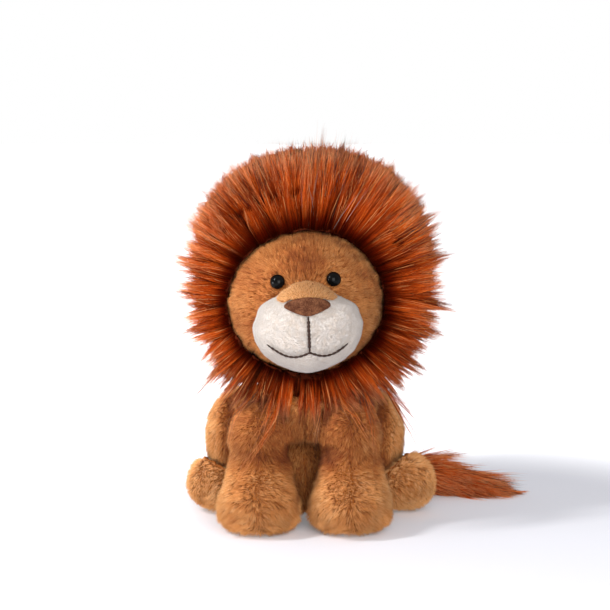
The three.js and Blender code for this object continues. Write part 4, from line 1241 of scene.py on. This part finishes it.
def rim_distance(points):
    """How far from the middle of the face the fur's form reaches, the way of each point."""
    reach = 200 * mm
    centre = Vector((face_x, head_middle[1] + 20 * mm, face_z))
    ways = [Vector(way) for way in spokes(points)]
    return np.array([reach - mane_tree.ray_cast(centre + way * reach, -way)[3] for way in ways])


# hairs to a square millimetre at the face, on the sides, at the back and under the chin
face_density, side_density, back_density = 2.8, 1.0, 1.1
bib_density = 6.0
lock_spacing = 10 * mm
roots, normals = roots_on(mane_form.data, bib_density, 101, 14)
chance = np.random.default_rng(102)
spoke = spokes(roots)
facing_front = np.clip(-normals[:, 1], 0, 1) ** 2
lip = (roots[:, 1] < head_middle[1] + 4 * mm) & ((normals * spoke).sum(1) < 0.1)
facing_front[lip] = 1
facing_out = np.clip((normals * spoke).sum(1), 0, 1) ** 2
facing_back = np.clip(normals[:, 1], 0, 1) ** 2
densities = [face_density * facing_front, side_density * facing_out, back_density * facing_back]
density = np.maximum.reduce(densities)
hanging = np.clip((face_z - 30 * mm - roots[:, 2]) / (25 * mm), 0, 1) * (roots[:, 1] < 2 * mm)
density = np.maximum(density, bib_density * hanging)
inside = ((normals * unit(roots - head_middle)).sum(1) < -0.25) & ~lip
under = (normals[:, 2] < -0.6) & (np.hypot(roots[:, 0] - face_x, roots[:, 1]) < 26 * mm) & ~lip
keep = ~inside & ~under & (chance.random(len(roots)) * bib_density < density)
roots, normals, spoke, hanging = roots[keep], normals[keep], spoke[keep], hanging[keep]
facing_front, facing_out, facing_back = facing_front[keep], facing_out[keep], facing_back[keep]
roots = roots - normals * ground_depth(roots, normals)[:, None]
ways = spoke * (facing_front + 0.5 * facing_out + 0.6 * facing_back)[:, None]
ways[:, 1] += -0.24 * facing_front + 0.8 * facing_out + 0.3 * facing_back
ways[:, 2] -= 0.5 * facing_back
ways = unit(ways)
low = hanging * facing_front
ways[:, 1] -= 0.28 * low
ways = unit(ways)
off = np.linalg.norm((roots - (face_x, 0, face_z))[:, [0, 2]], axis=1)
to_rim = rim_distance(roots) - off
high = np.clip((roots[:, 2] - face_z) / (70 * mm), 0, 1)
# in millimetres: how far the face's hair ends lie apart, how far they stay inside the rim, there and
# further up, and how far the hair behind stands out of the form, less at the top
face_apart, face_inside, crown_inside = 13, 3.5, 9.7
rear_outside, rear_top_less = 5.5, 8
to_end = to_rim + (face_apart * chance.random(len(roots)) - face_inside - crown_inside * high) * mm
face_reach = np.clip(to_end, 18 * mm, 57 * mm) + 17 * mm * low
to_form = reach_out(roots, ways, mane_tree, 40 * mm)
rear_reach = np.clip(to_form + (rear_outside - rear_top_less * high) * mm, 15 * mm, 43.5 * mm)
at_front = facing_front > 0.4
reach = np.where(at_front, face_reach, rear_reach)
turn = np.arctan2(roots[:, 2] - face_z, roots[:, 0] - face_x)
round_face = np.stack([turn * 85 * mm, 0.45 * off, 0 * off], axis=1)
lines, tones = locks(
    roots,
    ways,
    reach,
    spacing=lock_spacing,
    pull=0.5,
    fall=0.02,
    spread=0.06,
    seed=103,
    bow=np.where(at_front, 0.05, 0.0),
    layout=np.where(at_front[:, None], round_face, roots),
    uneven=1 - 0.5 * hanging,
)
lines = laid_over(lines, [body_solid, *leg_solids.values()], 1.5 * mm)
keep = outside(lines[:, -1], [muzzle_solid])
which = panel_of(roots)
most = 12400  # hairs in one piece
for i, panel in enumerate(mane_panels):
    mine = np.flatnonzero(keep & (which == i))
    mine = mine[np.argsort(turn[mine])]
    for part, share in enumerate(np.array_split(mine, math.ceil(len(mine) / most))):
        name, seed = f"{panel}_locks_{part + 1}", 104 + 7 * i + part
        width = 0.32 * mm if panel != "mane_back" else 0.5 * mm
        bright = 0.02 - 0.15 * hanging[share] - 0.05 * (panel == "mane_crown")
        fur(name, lines[share], tones[share], "head", bright, seed, width)

# black guard hairs, longest at the top, and silver ones over the forehead
most_black, silver_count = 420, 110
chance = np.random.default_rng(151)
rim = np.flatnonzero(at_front & (off > 60 * mm) & (roots[:, 2] > face_z - 25 * mm))
high = np.clip(0.35 + (roots[rim, 2] - face_z) / (90 * mm), 0.12, 1)
rim = rim[chance.random(len(rim)) < high * most_black / len(rim)]
middle_x, half_width = 12 * mm, 14 * mm  # of the strip above the forehead with the silver hairs
strip = at_front & (np.abs(roots[:, 0] - middle_x) < half_width) & (roots[:, 2] > face_z + 46 * mm)
silver = chance.choice(np.flatnonzero(strip), silver_count, replace=False)
shades = np.concatenate([0.5 * chance.random(len(rim)) ** 2, 0.8 + 0.2 * chance.random(len(silver))])
past = np.concatenate([2 + 9 * chance.random(len(rim)), -20 + 14 * chance.random(len(silver))])
rim = np.concatenate([rim, silver])
over = np.clip(to_rim[rim] + past * mm, 12 * mm, 52 * mm)
lines, _ = locks(
    roots[rim],
    ways[rim],
    over,
    spacing=8 * mm,
    pull=0.5,
    fall=0.02,
    spread=0.07,
    seed=152,
    bow=0.04,
    uneven=0.1,
)
keep = outside(lines[:, -1], [muzzle_solid])
widths = np.where(shades > 0.7, 0.27 * mm, 0.42 * mm)
guards = strands("mane_guard_hairs", lines[keep], widths[keep], shades[keep])
dress(guards, guard_hair, "head", "long_fur")

# pale single hairs that reach past the others all round
outer_count = 2300
outer = np.flatnonzero(at_front & (off > 56 * mm) & (hanging < 0.5))
outer = chance.choice(outer, outer_count, replace=False)
past = 1 + 8 * chance.random(len(outer)) + 3 * np.abs(spoke[outer, 0])
over = np.clip(to_rim[outer] + past * mm, 12 * mm, 62 * mm)
lines, tones = locks(
    roots[outer],
    ways[outer],
    over,
    spacing=5 * mm,
    pull=0.5,
    fall=0.02,
    spread=0.1,
    seed=155,
    bow=0.04,
    uneven=0.1,
)
fur("mane_outer_hairs", lines, tones, "head", 0.18, 156, 0.26 * mm)

# wisps of single long hairs that hang over the chest and the tops of the legs
wisp_count, wisp_hairs = 14, 15
near_middle = np.abs(roots[:, 0] - face_x) < 50 * mm
low_rim = np.flatnonzero((hanging > 0.3) & (facing_front > 0.3) & near_middle)
first = chance.choice(low_rim, wisp_count, replace=False)
gaps = np.linalg.norm(roots[low_rim][None] - roots[first][:, None], axis=2)
members = low_rim[np.argsort(gaps, axis=1)[:, :wisp_hairs]].reshape(-1)
wisp = np.repeat(np.arange(wisp_count), wisp_hairs)
over = (44 + 22 * chance.random(wisp_count))[wisp] * mm
apart = np.stack([wisp * 0.1, 0 * wisp, 0 * wisp], axis=1)  # so that each wisp is a lock of its own
lines, tones = locks(
    roots[members],
    unit(ways[members] + (0, -0.1, 0)),
    over,
    spacing=12 * mm,
    pull=0.75,
    fall=0.05,
    spread=0.12,
    seed=153,
    layout=apart,
)
lines = laid_over(lines, [body_solid, *leg_solids.values()], 2.5 * mm)
dark = chance.random(len(lines)) < 0.3
fur("mane_long_hairs", lines[~dark], tones[~dark], "head", 0.15, 154, 0.42 * mm)
black_width, black_shade = np.full(dark.sum(), 0.34 * mm), np.full(dark.sum(), 0.3)
hanging_black = strands("mane_long_black_hairs", lines[dark], black_width, black_shade)
dress(hanging_black, guard_hair, "head", "long_fur")
bpy.data.objects.remove(mane_form)
